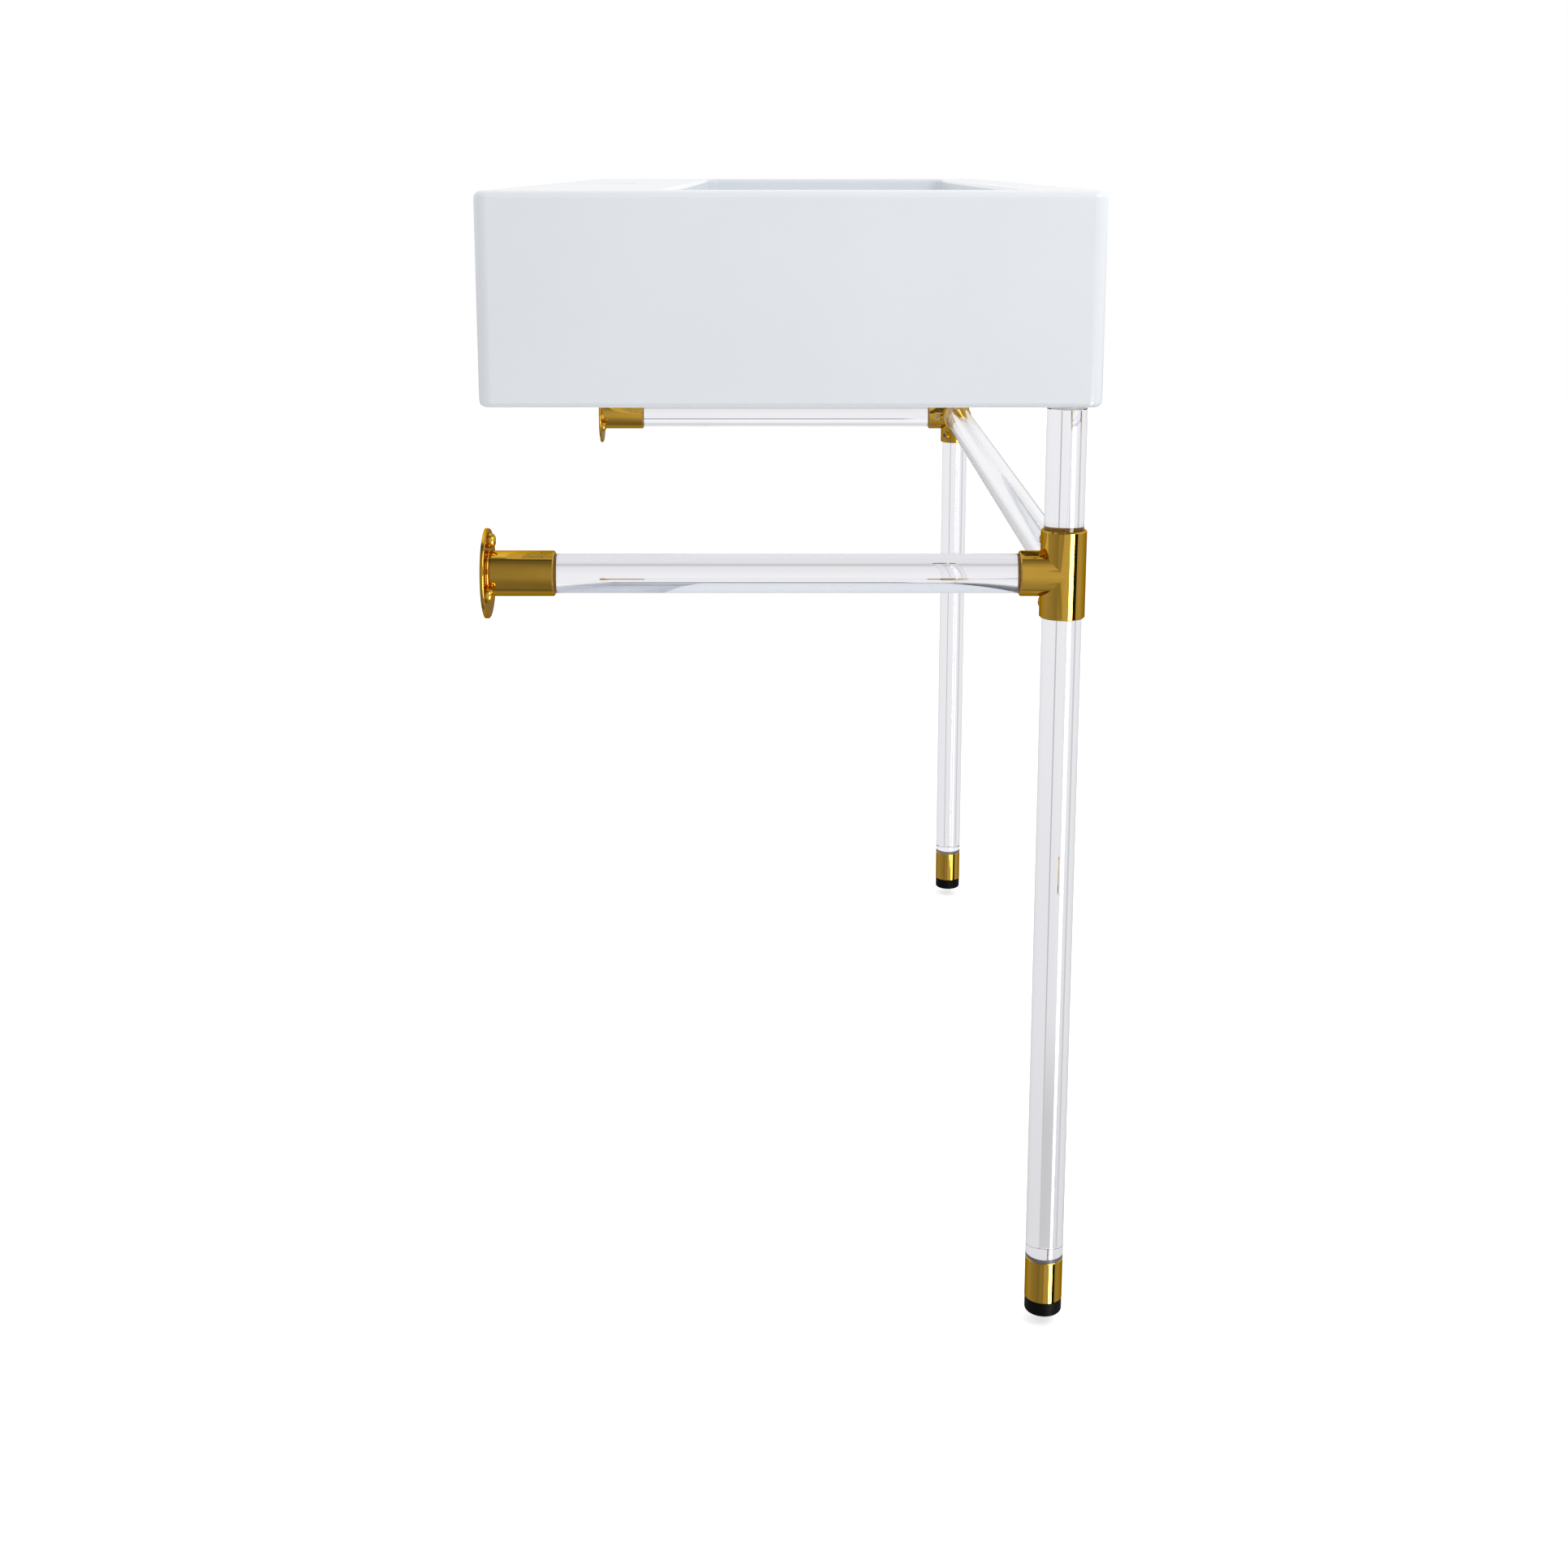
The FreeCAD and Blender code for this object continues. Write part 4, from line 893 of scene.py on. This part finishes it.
# What polished metal and glaze mirror.
round_about = by_angle(azimuth, [
    (-180, 0.5), (-136, 0.6), (-96, 0.45), (-61, 0.38), (-37, 0.31), (-22, 0.42), (-9, 0.36),
    (-6, 0.45), (-4, 0.64), (5, 0.67), (22, 0.68), (68, 0.5), (95, 0.6), (135, 0.6), (180, 0.5)])
up_down = by_angle(rise, [
    (-90, 0.4), (-66, 0.62), (-51, 0.66), (-37, 0.74), (-24, 0.87), (-10, 1.0), (30, 1.0),
    (40, 0.92), (51, 0.78), (64, 0.5), (78, 0.33), (90, 0.25)])
backdrop = by_angle(rise, [(-90, 0.4), (-5, 0.45), (0, 1.0), (90, 1.0)])
behind = add(tree, "ShaderNodeMapRange", {
    "Value": x, 1: -0.1, 2: 0.3}, interpolation_type="SMOOTHSTEP")
studio = paint(times(round_about, up_down), backdrop, behind.outputs[0])
FLAG, STRIP, STRIP_ANGLES = 0.02, 3.0, (26, 46)
within = window(rise, -45, -7, 1.0)
studio = paint(studio, FLAG, times(window(azimuth, 46.5, 66, 0.4), within))
studio = paint(studio, STRIP, times(window(azimuth, *STRIP_ANGLES, 0.3), within))
# What shows through the clear rods: lines that run along a leg, then lines that run along a rail.
# Straight ahead, y is small and nearly the same as its angle, so a window can bound it as one.
through = by_angle(rise, [(-90, 0.66), (-30, 0.76), (-15, 0.86), (-6, 0.9), (0, 0.9), (90, 0.93)])
below, ahead = window(rise, -90, -4, 1.0), window(y, -16, 12, 4.0)
for value, mask in (
        (0.5, times(window(azimuth, 161, 163.5, 0.5), below)),
        (1.0, times(window(azimuth, -172, -166, 0.5), window(rise, -26, -4, 1.0))),
        (0.6, times(window(azimuth, -158, -152, 2.0), below)),
        (0.2, times(window(rise, 6.4, 9.0, 0.4), window(y, -3.5, 5.0, 0.3))),
        (0.8, times(window(rise, -90, -31, 1.5), ahead)),
        (0.6, times(window(rise, -31, -25, 2.0), ahead)),
        (1.0, window(rise, 11, 18, 2.0)),
        (0.6, window(rise, 30, 40, 4.0))):
    through = paint(through, value, mask)
AMBIENT = 0.775
rays = add(tree, "ShaderNodeLightPath")
level = paint(AMBIENT, studio, rays.outputs["Is Glossy Ray"])
level = paint(level, through, rays.outputs["Is Transmission Ray"])
level = paint(level, 1.0, rays.outputs["Is Camera Ray"])
light = add(tree, "ShaderNodeBackground", {"Color": linear("#FFFFFF"), "Strength": level})
add(tree, "ShaderNodeOutputWorld", {"Surface": light.outputs[0]})
print("world nodes:", len(tree.nodes))

# %% [markdown]
# A light drawn on the world is endlessly far away, so a small round part mirrors it as a thin line
# at one angle only. The strip light is therefore also a real card close to the near leg, where
# that leg's fittings mirror it as a broad bright line. Only mirrors see it.
# %% Strip light by the near leg
NEAR_LEG, STRIP_AWAY, STRIP_GLOW = (-0.489, -0.204), 0.8, 12.0
STRIP_LOW, STRIP_HIGH = -0.55, 0.62


def strip_corner(degrees, height):
    """A point beside the near leg, at an angle round from the left end to the front."""
    (x, y), angle = NEAR_LEG, math.radians(degrees)
    return (x - STRIP_AWAY * math.cos(angle), y - STRIP_AWAY * math.sin(angle), height)


first, last = STRIP_ANGLES
corners = [strip_corner(first, STRIP_LOW), strip_corner(last, STRIP_LOW),
           strip_corner(last, STRIP_HIGH), strip_corner(first, STRIP_HIGH)]
strip_mesh = bpy.data.meshes.new("StripLight")
strip_mesh.from_pydata(corners, [], [(0, 1, 2, 3)])
strip = link(bpy.data.objects.new("StripLight", strip_mesh))
strip.visible_camera = strip.visible_diffuse = False
strip.visible_transmission = strip.visible_shadow = False
tube = bpy.data.materials.new("LampTube")
tube.use_nodes = True
tree = tube.node_tree
tree.nodes.clear()
glow = add(tree, "ShaderNodeEmission", {"Color": linear("#FFFFFF"), "Strength": STRIP_GLOW})
add(tree, "ShaderNodeOutputMaterial", {"Surface": glow.outputs[0]})
strip_mesh.materials.append(tube)
print("strip light corners:", len(strip_mesh.vertices))

# %% [markdown]
# A round softbox at the front left gives the glaze its soft highlight. A card on the floor between
# the legs throws light up, but only to the basin's underside, which the rails mirror and bend.
# %% Soft lamp and bounce card
softbox = bpy.data.lights.new("Softbox", "AREA")
softbox.shape, softbox.size, softbox.energy = "DISK", 1.4, 13
lamp = link(bpy.data.objects.new("Softbox", softbox))
lamp.location = (-1.3, -1.3, 1.9)
lamp.rotation_euler = (Vector((0, 0, 0.6)) - lamp.location).to_track_quat("-Z", "Y").to_euler()
bounce = bpy.data.lights.new("BounceCard", "AREA")
bounce.shape, bounce.size, bounce.size_y, bounce.energy = "RECTANGLE", 0.9, 0.38, 2.2
card = link(bpy.data.objects.new("BounceCard", bounce))
card.rotation_euler = (math.pi, 0, 0)
card.visible_camera = card.visible_glossy = card.visible_transmission = False
bpy.context.scene.view_settings.view_transform = "Standard"
print("softbox", softbox.energy, "W")
